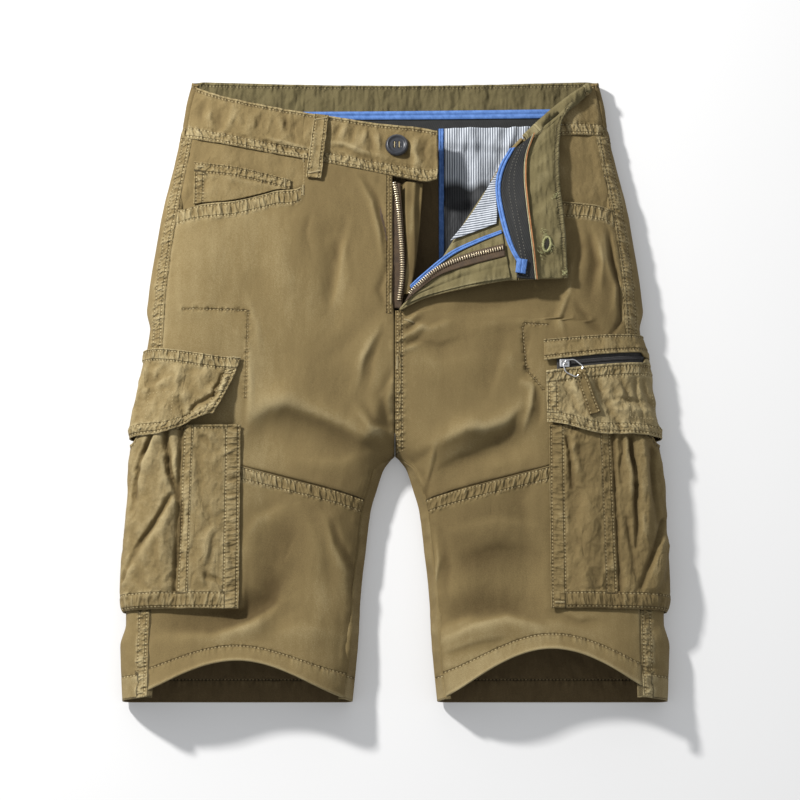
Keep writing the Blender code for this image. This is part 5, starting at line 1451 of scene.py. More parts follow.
# ---- Belt loops ----------------------------------------------------------------------------------
def belt_loop(name, foot, head, height, facing_down=False, detail=True):
    """A strip from foot to head in plan; height(x, y, r) is that of its side away from the garment."""
    foot, head = np.array(foot, dtype=float), np.array(head, dtype=float)
    run = head - foot
    side_way = np.array((run[1], -run[0])) / np.hypot(*run) * LOOP_WIDTH / 2
    C, R = np.meshgrid(np.linspace(-1, 1, 17 if detail else 7), np.linspace(0, 1, 90 if detail else 24))
    wobble = 1 + 0.05 * noise(R * 11, 0 * R, 211)
    x, y = parts(foot + run * R[..., None] + side_way * (C * wobble)[..., None])
    far = np.abs(C)
    rise = detail * (0.35 * noise(R * 12, C * 1.6, 212) + 0.5 * bell(far - 0.62, 0.3)
                     - 0.35 * bell(far - 0.78, 0.09) - 0.6 * (bell(R - 0.06, 0.02) + bell(R - 0.94, 0.02)))
    # painted light where the loop stands up and painted shade in its dips, with paler rubbed edges and uneven
    # tone
    cloth(name, xyz(x, y, height(x, y, R) + (-rise if facing_down else rise)), OLIVE, wall=1.4,
          flip=facing_down, crumple=0.7, sewn=nearest_seam(edge_seam((1 - far) * LOOP_WIDTH / 2, y, 2.0)),
          fade=0.52 + 0.12 * rise + 0.18 * bell(far - 1, 0.12) + 0.08 * noise(R * 15, C * 2, 213))


def belt_loops():
    belt_loop("belt_loop_front_right", (-71, 184), (-64.5, 243),
              lambda x, y, r: top(x, y) + SEAM + LOOP_WALL + 1.4 + 1.6 * np.sin(pi * r))
    start, stop = through(FLAP_SEAM, 0.66), through(FLAP_TOP, 0.66)
    belt_loop("belt_loop_front_left", mix(start, stop, -0.3), mix(start, stop, 0.98),
              lambda x, y, r: flap_z(x, y) - ROUND_SEAM - LOOP_WALL, facing_down=True)
    for k, x in enumerate((-150.0, -31.0, 23.0, 150.0)):
        belt_loop(f"belt_loop_back_{k + 1}", (x, WAIST - 54), (x, WAIST - 3), lambda x, y, r: 0 * x,
                  facing_down=True, detail=False)


# ---- Cargo pockets -------------------------------------------------------------------------------
class Wrap:
    """The leg's outer side from the front round to the pocket's back edge, as a table to read from."""
    LOW, HIGH, LEVELS, SHARES = -232.0, 80.0, 300, 360

    def __init__(self, start):
        levels = np.linspace(self.LOW, self.HIGH, self.LEVELS)
        edge = outer(levels)
        floor = lift(edge, levels)
        path = [(across, top(across, levels)) for across in
                (mix(start, edge, 1 - (1 - t) ** 2) for t in np.linspace(0, 1, 70))]
        path += [(edge - EDGE + EDGE * cos(a), floor + EDGE - EDGE * sin(a))
                 for a in np.linspace(0, pi / 2, 16)[1:]]
        path += [(across, lift(across, levels)) for across in
                 (mix(edge - EDGE, POCKET_BACK, t) for t in np.linspace(0, 1, 20)[1:])]
        path = np.array(path)                      # (point, across or z, level)
        steps = np.hypot(*np.diff(path, axis=0).transpose(1, 0, 2))
        far = np.concatenate((np.zeros((1, len(levels))), np.cumsum(steps, 0)))
        shares = np.linspace(0, 1, self.SHARES)
        self.table = np.empty((self.LEVELS, self.SHARES, 2))
        for k, axis in np.ndindex(self.LEVELS, 2):
            self.table[k, :, axis] = np.interp(shares * far[-1, k], far[:, k], path[:, axis, k])
        along = unit(np.gradient(self.table, axis=1))
        self.facing = np.stack((-along[..., 1], along[..., 0]), -1)

    def read(self, table, y, share):
        v = clamp((y - self.LOW) / (self.HIGH - self.LOW)) * (self.LEVELS - 1)
        u = clamp(share) * (self.SHARES - 1)
        iv, iu = np.minimum(v.astype(int), self.LEVELS - 2), np.minimum(u.astype(int), self.SHARES - 2)
        fv, fu = (v - iv)[..., None], (u - iu)[..., None]
        low, high = (mix(table[i, iu], table[i, iu + 1], fu) for i in (iv, iv + 1))
        return mix(low, high, fv)

    def out(self, side, y, share):
        """The direction straight out of the cloth."""
        across, z = parts(self.read(self.facing, y, share))
        return xyz(side * across, 0 * y, z)

    def point(self, side, y, share, off):
        """Where cloth lies that stands `off` the leg."""
        across, z = parts(self.read(self.table, y, share) + self.read(self.facing, y, share) * off[..., None])
        return xyz(side * across, y, np.maximum(z, 0.0))


POCKET_WRAP, ZIP_WRAP, WELT_WRAP = Wrap(POCKET_FRONT), Wrap(ZIP_START), Wrap(ZIP_START - 2)
WRAP_LENGTH = 163.0

POCKET_CREASES = {
    # in the pocket's cloth: (distance from its front edge, y) to (distance, y)
    RIGHT: rows_of(Fold, (
        (78, -44, 89, -74, 2.6, -1.8), (89, -74, 92, -108, 2.6, -1.3), (74, -46, 85, -84, 6, 1.0),
        (66, -38, 61, -80, 2.4, -1.9), (62, -66, 50, -110, 2.2, -2.1), (56, -60, 50, -92, 5, 1.0),
        (50.8, -106, 50.8, -158, 1.8, -2.4), (58, -98, 97, -168, 2.2, -1.4), (54, -104, 91, -172, 6, 1.0),
        (62, -130, 58, -176, 7, 1.2), (78, -144, 66, -182, 8, 0.9), (36, -60, 30, -108, 6, -0.7),
        (20, -132, 27, -168, 3.2, -0.8), (25, -132, 34, -162, 6, 0.7), (34, -48, 20, -60, 3, -0.7),
        (26, -168, 8, -175, 2.6, -1.2), (104, -90, 100, -140, 5, -0.6),
    )),
    LEFT: rows_of(Fold, (
        (15, -48, 20, -90, 2.0, -1.8), (20, -48, 26, -90, 5, 0.9), (22, -88, 21, -140, 9, -1.1),
        (34, -110, 30, -176, 8, 0.7), (62, -46, 62, -86, 2.0, -1.2), (65, -118, 69, -164, 2.0, -0.9),
        (67, -50, 70, -92, 4, 1.0), (72, -48, 75, -88, 2.3, -1.8), (75, -88, 72, -142, 2.3, -1.8),
        (80, -50, 81, -130, 5, 1.2), (90, -56, 91, -118, 2.6, -1.2), (96, -118, 70, -188, 2.8, -1.7),
        (97, -138, 80, -186, 7, 1.2), (98, -60, 102, -110, 4, 0.8),
    )),
}
PLEAT_START, PLEAT_WIDTH = {RIGHT: 40.5, LEFT: 44.0}, {RIGHT: 9.5, LEFT: 10.0}
POCKET_TONE = {RIGHT: -0.02, LEFT: -0.17}


def on_leg(name, wrap, side, y, share, off, material=OLIVE, **looks):
    """Cloth that stands `off` the leg's outer side."""
    P = wrap.point(side, y, share, np.maximum(off, CLOTH + 0.3) + 0 * y)
    cloth(name, P, material, flip=side < 0, **looks)


def in_sight(share, loss=0.8):
    """A pocket's own relief, which dies away where it goes round behind the leg's edge."""
    return 1 - loss * ease((share - 0.66) / 0.08)


def cargo_body(side):
    C, R = grid(150, 116)
    mouth = mix(POCKET_MOUTH, FLAP_FOOT - 5, ease((C - 0.5) / 0.1))
    y = mix(POCKET_BOTTOM, mouth, R)
    full = dome(R / 0.14) * mix(1, MOUTH_SWELL, R)
    s, width = C * WRAP_LENGTH, PLEAT_WIDTH[side]
    d, from_mouth, from_pleat = y - POCKET_BOTTOM, mouth - y, s - PLEAT_START[side]
    above = 1 - ease((16 - d) / 4)
    inside = band(s, 14, 118, 8) * band(d, 16, 400, 6)
    pleat = Seam(1.2, width - 1.5, 0, width, 0.6, width, 0.9, 6.0, 241)
    rise = (POCKET_FRONT_SEAM.relief(s, y, side) + POCKET_FOOT_SEAM.relief(d, s, side)
            + above * (pleat.relief(from_pleat, y, side) - 2.4 * bell(from_pleat - width - 1.6, 1.6))
            + inside * (2.8 * crease_relief(s, y, POCKET_CREASES[side]) + 1.3 * crushed(s, y, 263 + side)
                        + 0.8 * noise(s / 15, y / 30, 261 + side) + 0.3 * noise(s / 6, y / 8, 262))
            + 0.4 * bell(from_mouth, 1.5) + stitched(from_mouth, 3) * ease((12 - from_mouth) / 3))
    # painted light on what stands up and painted shade in hollows, paler rubbed edges and stitched strips, a
    # darker tone on the left pocket, and a painted shadow in a dark line beside the pleat's fold
    fade = (fade_from(rise, 0.17) + edge_fade(s, s - 12.5, d, d - 13.5) + POCKET_TONE[side]
            + 0.7 * edge_fade(from_pleat, from_pleat - width) * above
            - 0.26 * bell(from_pleat - width - 1.6, 1.9))
    on_leg(f"cargo_pocket_{NAME[side]}", POCKET_WRAP, side, y, C,
           SEWN + full * smooth(SWELL[side], C) + rise * in_sight(C, 0.75), crumple=0.8, fade=fade,
           sewn=nearest_seam(
               POCKET_FRONT_SEAM.rows(s, y, gather=0.7), POCKET_FOOT_SEAM.rows(d, s, gather=0.8),
               pleat.rows(from_pleat, y, gather=0.5), edge_seam(from_mouth, s, 3.0)))


def flap_lift(side, share, row):
    over_mouth = SEWN + CLOTH + 2 * ROUND_SEAM + MOUTH_SWELL * smooth(SWELL[side], share)
    over_mouth = mix(over_mouth, POCKET_LIFT, ease((share - 0.58) / 0.12))
    return mix(over_mouth, SEWN, ease(row))


FLAP_RIGHT_CREASES = rows_of(Fold, (
    (18, 6, 24, -12, 3.0, -1.5), (24, -12, 42, -22, 3.5, -1.6), (42, -22, 47, -32, 3.0, -1.0),
    (14, 4, 20, -14, 3.0, 1.2), (22, -20, 40, -28, 3.5, 1.2), (52, -6, 46, -28, 5, 0.9),
    (60, 14, 54, -10, 5, 0.8),
    (76, 12, 84, -12, 5, -0.9), (66, 4, 90, -6, 5, 0.9), (34, 12, 40, -6, 6, 0.7), (94, 10, 96, -24, 4, 0.8),
))
FLAP_LEFT_CREASES = rows_of(Fold, (
    (16, 0, 26, -22, 4, -1.1), (8, -6, 14, -24, 4, 0.9), (36, 6, 44, -10, 4, 1.0), (46, 4, 54, -16, 5, -1.2),
    (54, -16, 62, -38, 5, -1.1), (62, 0, 70, -20, 5, 1.2), (60, -14, 92, -14, 3, -0.9),
    (70, -22, 96, -24, 5, 0.8),
    (82, 6, 84, -34, 3, -0.8), (92, -2, 100, -24, 5, -0.9), (24, -26, 30, -40, 4, 0.8),
))


def cargo_flap_right():
    C, R = grid(140, 76)
    start = mix(0.15, 0.0, R ** 0.8)
    at = mix(start, 1, C)
    foot = np.where(C < 0.6, mix(-29, FLAP_FOOT, ease(C / 0.35)), FLAP_FOOT)
    head = mix(22, 33, ease(C / 0.6))
    y = mix(foot, head, R)
    curl = 5.0 * (1 - R) * (1 - ease(C / 0.22))
    s, edge = at * WRAP_LENGTH, (at - start) * WRAP_LENGTH
    d, e = head - y, y - foot
    rise = (RIGHT_FLAP_HEAD_SEAM.relief(d, s) + RIGHT_FLAP_FRONT_SEAM.relief(edge, y)
            + RIGHT_FLAP_FOOT_SEAM.relief(e, s)
            + band(d, 11, 90, 5) * (2.6 * crease_relief(s, y, FLAP_RIGHT_CREASES) + 2.6 * crushed(s, y, 276)
                                    + 1.2 * noise(s / 14, y / 12, 274) + 0.5 * noise(s / 6, y / 6, 275)))
    off = flap_lift(RIGHT, at, R) + curl + rise * in_sight(at)
    on_leg("cargo_flap_right", POCKET_WRAP, RIGHT, y, at, off,
           fade=fade_from(rise, 0.17) + edge_fade(d, d - 10, edge, edge - 10, e, e - 9) + 0.01, crumple=1.0,
           sewn=nearest_seam(RIGHT_FLAP_HEAD_SEAM.rows(d, s), RIGHT_FLAP_FRONT_SEAM.rows(edge, y),
                             RIGHT_FLAP_FOOT_SEAM.rows(e, s)))


def zip_y(share):
    return mix(14.5, 25.5, clamp(share / ZIP_END))


def zip_half(share):
    return mix(ZIP_HALF, ROUND_SEAM / 2, ease((share - ZIP_END + 0.03) / 0.03))


def left_flap_foot(share):
    return mix(-35, FLAP_FOOT, ease(share / 0.3))


def cargo_flap_left():
    """The left pocket's welt over its zip, the flap below, and the zip's tape."""
    C, R = grid(140, 26)
    head = mix(38, 46, clamp(C / 0.6))
    y = mix(zip_y(C) + zip_half(C), head, R)
    s, d, e = C * WRAP_LENGTH, head - y, y - zip_y(C) - ZIP_HALF
    rise = (0.45 * bell(e, 1.8) + stitched(e, 3.0) + stitched(d, 2.0) + pucker(s, e, 6, 0.45, 6.0, 281)
            + pucker(s, d, 8, 0.5, 6.0, 282) + 0.5 * noise(s / 11, y / 9, 283) * band(d, 3, 60, 4))
    on_leg("cargo_welt_left", WELT_WRAP, LEFT, y, C, mix(OVER_ZIP, SEWN, ease(R)) + rise * in_sight(C),
           fade=fade_from(rise, 0.17) + edge_fade(e, d) - 0.04, crumple=0.7,
           sewn=nearest_seam(edge_seam(e, s, 3.0), edge_seam(d, s, 2.0)))

    C, R = grid(140, 70)
    foot, head = left_flap_foot(C), zip_y(C) - zip_half(C)
    y = mix(foot, head, R)
    s, e, d = C * WRAP_LENGTH, y - foot, zip_y(C) - ZIP_HALF - y
    rise = (0.4 * bell(d, 1.8) + LEFT_FLAP_HEAD_SEAM.relief(d, s) + LEFT_FLAP_FOOT_SEAM.relief(e, s)
            + LEFT_FLAP_FRONT_SEAM.relief(s, y)
            + band(d, 8, 90, 6) * (2.6 * crease_relief(s, y, FLAP_LEFT_CREASES) + 2.2 * crushed(s, y, 296)
                                   + 0.6 * noise(s / 13, y / 11, 294) + 0.5 * noise(s / 6, y / 6, 295)))
    off = mix(flap_lift(LEFT, C, 0), OVER_ZIP, ease(e / (head - foot) / 0.7))
    on_leg("cargo_flap_left", ZIP_WRAP, LEFT, y, C, off + rise * in_sight(C),
           fade=fade_from(rise, 0.12) + edge_fade(d, d - 10.5, e, e - 8.5, s) + 0.10, crumple=1.0,
           sewn=nearest_seam(LEFT_FLAP_HEAD_SEAM.rows(d, s), LEFT_FLAP_FOOT_SEAM.rows(e, s),
                             LEFT_FLAP_FRONT_SEAM.rows(s, y)))

    C, R = np.meshgrid(np.linspace(0.06, 0.59, 80), np.linspace(-1, 1, 10))
    on_leg("cargo_zip_tape", ZIP_WRAP, LEFT, zip_y(C) + (ZIP_HALF + 3) * R, C, ROUND_SEAM + BAG, BLACK_TAPE,
           wall=0.8)


# ---- Zip teeth -----------------------------------------------------------------------------------
def beads(name, places, along, up, size, material, slot=None):
    """Small rounded blocks at places, each (along, across, up) in size."""
    places, along, up = (np.asarray(a, dtype=float)[:, None] for a in (places, along, up))
    ring = ((-1, -0.7), (-0.7, -1), (0.7, -1), (1, -0.7), (1, 0.7), (0.7, 1), (-0.7, 1), (-1, 0.7))
    shape = [(x, y, 0) for x, y in ring] + [(0.75 * x, 0.75 * y, 1) for x, y in ring]
    a, b, c = (np.array(shape) * (size[0] / 2, size[1] / 2, size[2])).T[..., None]
    points = places + along * a + np.cross(up, along) * b + up * c
    sides = [(n, (n + 1) % 8, 8 + (n + 1) % 8, 8 + n) for n in range(8)]
    lids = [(8, 9, 10, 15), (10, 11, 14, 15), (11, 12, 13, 14), (3, 2, 1, 0), (7, 4, 3, 0), (7, 6, 5, 4)]
    on_body(mesh_object(name, points.reshape(-1, 3), repeated(sides + lids, 16, len(places)), material))


def repeated(faces, step, count):
    """The faces of one shape for each of count copies, whose points follow each other."""
    return (np.array(faces) + step * np.arange(count)[:, None, None]).reshape(-1, len(faces[0]))


def along_path(points, pitch):
    """Even places along a broken line, and its direction there.

    The first three columns are its points; what the others hold is read along with the places.
    """
    far = np.concatenate(([0], np.cumsum(np.linalg.norm(np.diff(points[:, :3], axis=0), axis=1))))
    at = np.arange(pitch / 2, far[-1], pitch)

    def read(place):
        return np.stack([np.interp(place, far, column) for column in points.T], -1)

    return read(at), unit((read(at + pitch / 4) - read(at - pitch / 4))[:, :3])


def surface_at(name, x, y):
    """The highest point of a piece under (x, y), and its normal facing up; None where it isn't."""
    spot, normal, _, _ = SURFACES[name].ray_cast(Vector((x, y, 200)), Vector((0, 0, -1)))
    return spot and (*spot, *(-normal if normal.z < 0 else normal))


def on_pieces(path, pitch, names, raise_by=0.0):
    """Places, directions and normals along a plan path, on the highest of the named pieces."""
    found = []
    for x, y in through(line(*path), np.linspace(0, 1, 160)):
        hits = [hit for hit in (surface_at(name, x, y) for name in names) if hit]
        if hits:
            found.append(max(hits, key=lambda hit: hit[2]))
    places, ways = along_path(np.array(found), pitch)
    up = unit(places[:, 3:])
    return places[:, :3] + up * raise_by, ways, up


def zip_teeth():
    for side, path, names in (
            ("right", ((-1.5, 183), (1.5, 168), (4.5, 138), (6.4, 100), (3.4, 72)), ["zip_tape_right"]),
            ("left", ((8.5, 71), (14, 79), (25, 90), (38, 100), (60, 108.5), (93.5, 116)),
             ["zip_tape_left", "fly_facing_left", "front_left_upper"])):
        beads(f"zip_teeth_{side}", *on_pieces(path, 2.1, names), (1.1, 4.2, 1.7), BRASS_TEETH)
    share = np.arange(0.075, 0.585, 1.05 / WRAP_LENGTH)
    y = zip_y(share)
    places = ZIP_WRAP.point(LEFT, y, share, ROUND_SEAM + BAG + 0 * y)
    ways, up = unit(np.gradient(places, axis=0)), ZIP_WRAP.out(LEFT, y, share)
    for row, shift in (("low", -1), ("high", 1)):
        spots = places + shift * (0.75 * np.cross(up, ways) + 0.26 * ways)
        beads(f"cargo_zip_teeth_{row}", spots, ways, up, (0.62, 2.3, 0.8), BLACK_TEETH)


# ---- Sewing --------------------------------------------------------------------------------------
def threads(name, spots, ways, ups, length=2.1, thick=0.34, material=THREAD):
    """One object of stitches, each a small raised spindle lying along its way."""
    half, low, beside = ways * length / 2, ups * 0.15, np.cross(ups, ways) * thick
    points = (spots - half - low, spots + half - low, spots + beside, spots + ups * thick, spots - beside)
    faces = ((0, 2, 3), (0, 3, 4), (1, 3, 2), (1, 4, 3), (0, 4, 2), (1, 2, 4))
    on_body(mesh_object(name, np.stack(points, 1).reshape(-1, 3), repeated(faces, 5, len(spots)), material))


def sew(name, paths, names, **looks):
    """Rows of stitches along plan paths, lying on the highest of the named pieces."""
    runs = [on_pieces(path, STITCH, names, 0.05) for path in paths]
    threads(name, *(np.concatenate(each) for each in zip(*runs)), **looks)


def bartacks(name, tacks, names):
    """Short bars of close stitches, each across the line between two plan points."""
    runs = [on_pieces(tack, 0.75, names, 0.25) for tack in tacks]
    spots, ways, ups = (np.concatenate(each) for each in zip(*runs))
    threads(name, spots, np.cross(ups, ways), ups, length=2.6, thick=0.42)


def on_wrap(wrap, side, off, *pairs):
    """A plan path from (distance from the pocket's front edge, y) pairs."""
    s, y = np.array(pairs, dtype=float).T
    return wrap.point(side, y, s / WRAP_LENGTH, off + 0 * y)[:, :2]


def sewing():
    fronts = ["front_right_upper", "front_left_upper"]
    pocket_end = [((x, 203), (x, 167)) for x in (-81.5, -79.3)]
    sew("stitches_bag_outlines", [(row[:2], row[2:]) for row in BAG_LINES] + pocket_end, fronts)
    share = np.linspace(0.02, 0.98, 40)
    across = [mix(through(CURTAIN_EDGE, share), through(CURTAIN_FAR, share), at) for at in (0.34, 0.56)]
    sew("stitches_curtain", across, ["curtain_left"], material=DARK_THREAD)
    sew("stitches_flap_square", [on_wrap(POCKET_WRAP, RIGHT, 8.0, *run) for run in (
        ((82, -8), (60, -8)), ((60, -8), (60, -32)), ((82, -8), (82, -32)))], ["cargo_flap_right"])
    sew("stitches_flap_left_square", [on_wrap(ZIP_WRAP, LEFT, 6.0, *run) for run in (
        ((72, -6), (72, -30)), ((96, -6), (96, -30)), ((72, -30), (96, -30)))], ["cargo_flap_left"])
    bartacks("bartacks_front", (
        ((-80, 178), (-80, 168)), ((-80, 205), (-80, 199)), ((2, 12), (2, 24)), ((-3.5, 70), (-3.5, 80)),
        ((8, 56), (16, 53)), ((80, 176), (90, 173))), fronts)
    bartacks("bartacks_coin_pocket", (((-96, 176), (-96, 186)), ((-173, 196), (-167, 196))),
             ["coin_pocket_right"])
    bartacks("bartacks_loops", (((-76, 188), (-65, 190)), ((-70.5, 238), (-59.5, 240))),
             ["belt_loop_front_right"])
    bartacks("bartacks_flap_right", [on_wrap(POCKET_WRAP, RIGHT, 6.0, *run) for run in (
        ((4, 21), (10, 23)), ((9, 8), (15, 8)))], ["cargo_flap_right"])
    bartacks("bartacks_cargo_left", [on_wrap(POCKET_WRAP, LEFT, 4.0, (3, -190), (11, -190))],
             ["cargo_pocket_left"])


# ---- Cloth tab of the zip pull, buttonhole -------------------------------------------------------
SLIDER_X, SLIDER_HEIGHT, HINGE_RISE, RING_END, WIRE = 145.5, 2.4, 1.2, 15.6, 0.6
PULL_ANGLE, PULL_TILT, TAB_ANGLE, TAB_LENGTH, TAB_WALL = -33.0, 5.0, -71.0, 38.0, 0.8


def direction(angle):
    return np.array((cos(radians(angle)), sin(radians(angle)), 0.0))


def left_flap_height(x, y):
    """Height of the left flap's outer side, read off its cloth."""
    height = np.empty(x.shape)
    for place in np.ndindex(x.shape):
        hit = surface_at("cargo_flap_left", x[place], y[place])
        height[place] = hit[2] if hit else top(x[place], y[place]) + OVER_ZIP
    return blurred(height, 3)


def pull_tab():
    """The tab looped round the ring's far wire and lying on the flap."""
    shares = np.linspace(0.02, 0.3, 400)
    spots = ZIP_WRAP.point(LEFT, zip_y(shares), shares, ROUND_SEAM + BAG + 0 * shares)
    k = int(np.argmin(np.abs(spots[:, 0] - SLIDER_X)))
    off = ZIP_WRAP.out(LEFT, zip_y(shares), shares)[k]
    beside = unit(np.cross(off, direction(PULL_ANGLE)))
    up = unit(mix(off, np.cross(beside, off), -sin(radians(PULL_TILT))))
    ahead = np.cross(beside, up)
    far = spots[k] + off * (SEAM + SLIDER_HEIGHT + HINGE_RISE) + ahead * RING_END
    turned = direction(TAB_ANGLE)
    run = np.linspace(TAB_LENGTH, 0, 60)
    C, S = np.meshgrid(np.linspace(-1, 1, 13), np.concatenate((run, np.zeros(5), run[::-1])))
    angle = np.radians(np.concatenate((np.full(60, 90), np.linspace(115, 245, 5), np.full(60, 270))))
    angle = angle[:, None] + 0 * C
    bend = ease(S / 8)[..., None]
    heading = unit(mix(ahead, turned, bend))
    side = unit(mix(beside, np.array((-turned[1], turned[0], 0)), bend))
    width = mix(2.7, 5.1, ease((S - 2) / 9)) * (1 + 0.05 * noise(S / 5, 0 * S, 301))
    P = far + heading * S[..., None] + side * (C * width)[..., None]
    rise = 0.5 * noise(S / 5, C * 1.5, 302) + 0.6 * bell(np.abs(C) - 0.7, 0.2) - 0.3
    level = left_flap_height(P[..., 0], P[..., 1]) + ROUND_SEAM / 2 + TAB_WALL + SEAM / 2 + 0.5
    P[..., 2] = mix(P[..., 2], level, ease((S - 1) / 9))
    radius = mix(WIRE + SEAM + TAB_WALL, TAB_WALL + SEAM / 2, ease((S - 1) / 6))
    radius = radius + rise * (np.sin(angle) > 0.9) * ease(S / 4)
    P = P + up * (radius * np.sin(angle))[..., None] + ahead * (radius * np.cos(angle))[..., None]
    # painted light where the tab stands up and painted shade where it sinks
    cloth("cargo_pull_tab", P, OLIVE, wall=TAB_WALL, body="zip_pull", crumple=0.6, fade=0.42 + 0.2 * rise,
          sewn=nearest_seam(edge_seam((1 - np.abs(C)) * width, S, 1.6, gather=0.2)))


HOLE_X, HOLE_Y, HOLE_HALF_LENGTH, HOLE_HALF_WIDTH, HOLE_SLANT = 131.0, 120.0, 5.6, 2.3, 0.8
# where the turned-back band is frayed: x, y, number of threads, spread
FRAYED = ((127, 112, 16, 4.0), (135.5, 118, 14, 2.6), (139.5, 166, 16, 2.2), (146.5, 96, 24, 2.6),
          (129, 130, 18, 3.0))


def buttonhole():
    """A frayed slot worked in green thread, and loose threads at the band's worn corner."""
    C, R = np.meshgrid(np.linspace(-1, 1, 9), np.linspace(-1, 1, 25))
    x = HOLE_X + HOLE_HALF_WIDTH * C * np.sqrt(np.maximum(1.02 - R ** 2, 0.02)) + HOLE_SLANT * R
    y = HOLE_Y + HOLE_HALF_LENGTH * R
    # the slot's shade is painted: a dark sheet lies on the band over it
    cloth("buttonhole_slot", xyz(x, y, flap_height(x, y) + 0.3), SLOT_PAINTED_SHADE, suffix="", in_solids=False,
          wall=0.2, crumple=0.0)
    dice = np.random.RandomState(7)

    def green_threads(name, x, y, up, ways, length, thick):
        spots = xyz(x, y, flap_height(x, y) + up)
        threads(name, spots, unit(np.array(ways)), np.array((0.0, 0.0, 1.0)) + 0 * spots, length, thick, FRAY)

    around = np.linspace(0, 2 * pi, 90, endpoint=False)
    green_threads("buttonhole_stitches",
                  HOLE_X + (HOLE_HALF_WIDTH + 0.9) * np.cos(around) + HOLE_SLANT * np.sin(around),
                  HOLE_Y + (HOLE_HALF_LENGTH + 0.9) * np.sin(around), 0.5,
                  [(cos(a), sin(a) * 0.6, 0.0) + dice.uniform(-0.35, 0.35, 3) * (1, 1, 0.3) for a in around],
                  3.6, 0.4)
    places, ways = [], []
    for x, y, count, spread in FRAYED:
        for _ in range(count):
            places.append((x, y) + dice.normal(0, spread / 2, 2) * (1, 1.6))
            ways.append(np.append(dice.uniform(-1, 1, 2), dice.uniform(-0.2, 0.3)))
    green_threads("frayed_threads", *np.array(places).T, 0.7, ways, 3.4, 0.24)


# ---- Button --------------------------------------------------------------------------------------
BUTTON_X, BUTTON_Y, BUTTON_RADIUS, BUTTON_WALL, BUTTON_HOLE = 1.7, 214.6, 10.2, 2.0, 0.2


def button():
    """A four-hole button with a raised rim, a dished middle and its thread."""
    middle = np.mean(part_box("button"), axis=0) / MM + MIDDLE
    x, y = BUTTON_X, BUTTON_Y
    up = unit(np.array(((top(x - 8, y) - top(x + 8, y)) / 16, (top(x, y - 8) - top(x, y + 8)) / 16, 1.0)))
    east = unit(np.cross((0, 1, 0), up))
    north = np.cross(up, east)
    T, R = np.meshgrid(np.linspace(0, 2 * pi, 73), np.concatenate((np.linspace(0.02, 0.62, 28),
                                                                   np.linspace(0.64, 1, 18))))
    u, v = R * np.cos(T), R * np.sin(T)
    height = 0.45 + 0.15 * R + 1.25 * bell(R - 0.80, 0.11) - 0.10 * bell(R - 0.58, 0.05)
    for a, b in ((1, 1), (-1, 1), (1, -1), (-1, -1)):
        height = height - 1.7 * ease((0.125 - np.hypot(u - a * BUTTON_HOLE, v - b * BUTTON_HOLE)) / 0.035)
    height = height - 1.6 * ease((R - 0.93) / 0.07)
    P = (middle + east * (u * BUTTON_RADIUS)[..., None] + north * (v * BUTTON_RADIUS)[..., None]
         + up * height[..., None])
    index = np.arange(R.size).reshape(R.shape)
    index[:, -1] = index[:, 0]
    thing = mesh_object("button_face", P.reshape(-1, 3), quads(index)[:, [0, 3, 2, 1]], BUTTON)
    wall_off(thing, BUTTON_WALL)
    on_body(thing)
    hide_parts("button")
    spots = [middle + BUTTON_RADIUS * (east * a * BUTTON_HOLE + north * b) + up * rise
             for a in (-1, 1) for b, rise in ((-0.171, 0.55), (0.171, 0.55), (0, 0.75))]
    beads("button_thread", spots, [north] * 6, [up] * 6, (2.4, 0.9, 0.5), THREAD, "button")


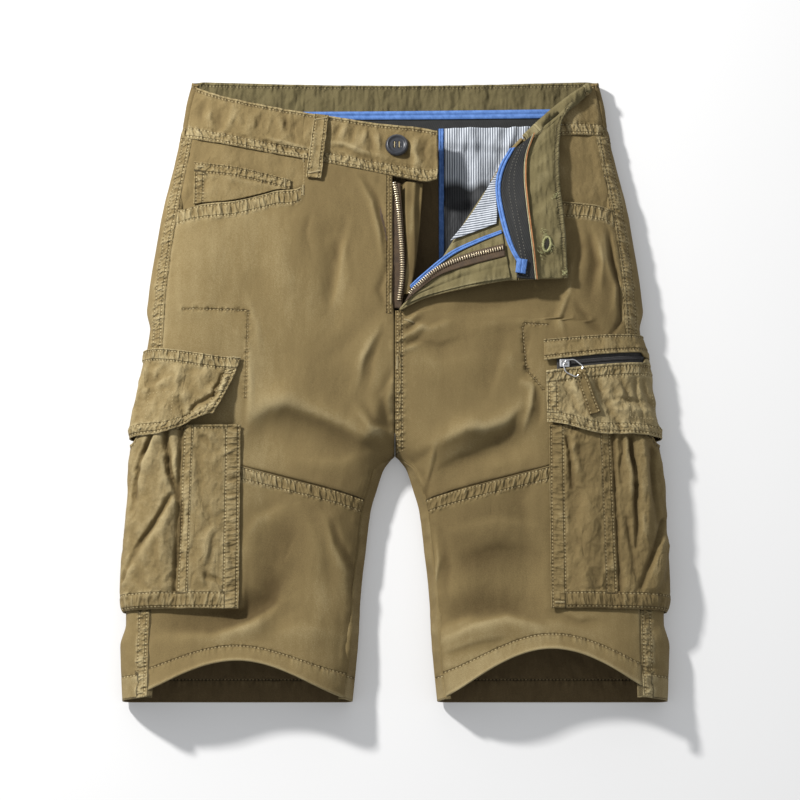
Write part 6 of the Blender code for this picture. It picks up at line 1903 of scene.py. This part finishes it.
# ---- Run -----------------------------------------------------------------------------------------
front_right_upper()
front_left_upper()
for side in (RIGHT, LEFT):
    front_lower(side)
    hip_facing(side)
    back(side)
coin_pocket()
waistband_front_right()
waistband_front_left()
waistband_back()
inside_of_back()
inside_of_flap()
fly()
belt_loops()
for side in (RIGHT, LEFT):
    cargo_body(side)
cargo_flap_right()
cargo_flap_left()
zip_teeth()
pull_tab()
buttonhole()
sewing()
button()
for node in ("cargo_zip_slider", "cargo_zip_pull"):
    frame["nodes"][node].data.materials.clear()
    frame["nodes"][node].data.materials.append(STEEL)

# ---- Stage, light and camera ---------------------------------------------------------------------
ELEVATION = radians(78.0)
DISTANCE = 2.6
TARGET = Vector((0.00435, -0.0123, 0.0))
LIGHT_PLACE = Vector((-1.25, 1.05, 1.22))
FLOOR_REACH, FLOOR_DROP = 6, 0.0004

floor_mesh = bpy.data.meshes.new("floor")
floor_mesh.from_pydata([(-FLOOR_REACH, -FLOOR_REACH, 0), (FLOOR_REACH, -FLOOR_REACH, 0),
                        (FLOOR_REACH, FLOOR_REACH, 0), (-FLOOR_REACH, FLOOR_REACH, 0)], [], [(0, 1, 2, 3)])
floor = put("floor", floor_mesh)
floor.location.z = -FLOOR_DROP
paper = Nodes("floor_paper", 0.9)
paper.shader.inputs["Base Color"].default_value = (0.60, 0.60, 0.604, 1)
paper.shader.inputs["Emission Color"].default_value = (1, 1, 1, 1)
paper.shader.inputs["Emission Strength"].default_value = 0.15
paper.shader.inputs["Specular IOR Level"].default_value = 0.1
floor_mesh.materials.append(paper.material)

softbox = put("softbox", bpy.data.lights.new("softbox", "AREA"))
softbox.data.energy = 67.0
softbox.data.size = 0.16
softbox.data.color = (1.0, 0.985, 0.96)
softbox.location = LIGHT_PLACE
softbox.rotation_euler = (-LIGHT_PLACE).to_track_quat("-Z", "Y").to_euler()

sky = bpy.data.worlds.new("studio")
sky.use_nodes = True
sky.node_tree.nodes["Background"].inputs["Color"].default_value = (0.96, 0.98, 1.0, 1)
sky.node_tree.nodes["Background"].inputs["Strength"].default_value = 0.57
bpy.context.scene.world = sky

camera = put("camera", bpy.data.cameras.new("camera"))
camera.data.lens = 134.5
camera.data.sensor_width = 36.0
camera.data.clip_end = 20.0
camera.location = TARGET + Vector((0, -cos(ELEVATION), sin(ELEVATION))) * DISTANCE
camera.rotation_euler = (pi / 2 - ELEVATION, 0, 0)
bpy.context.scene.camera = camera
bpy.context.scene.view_settings.view_transform = "Standard"
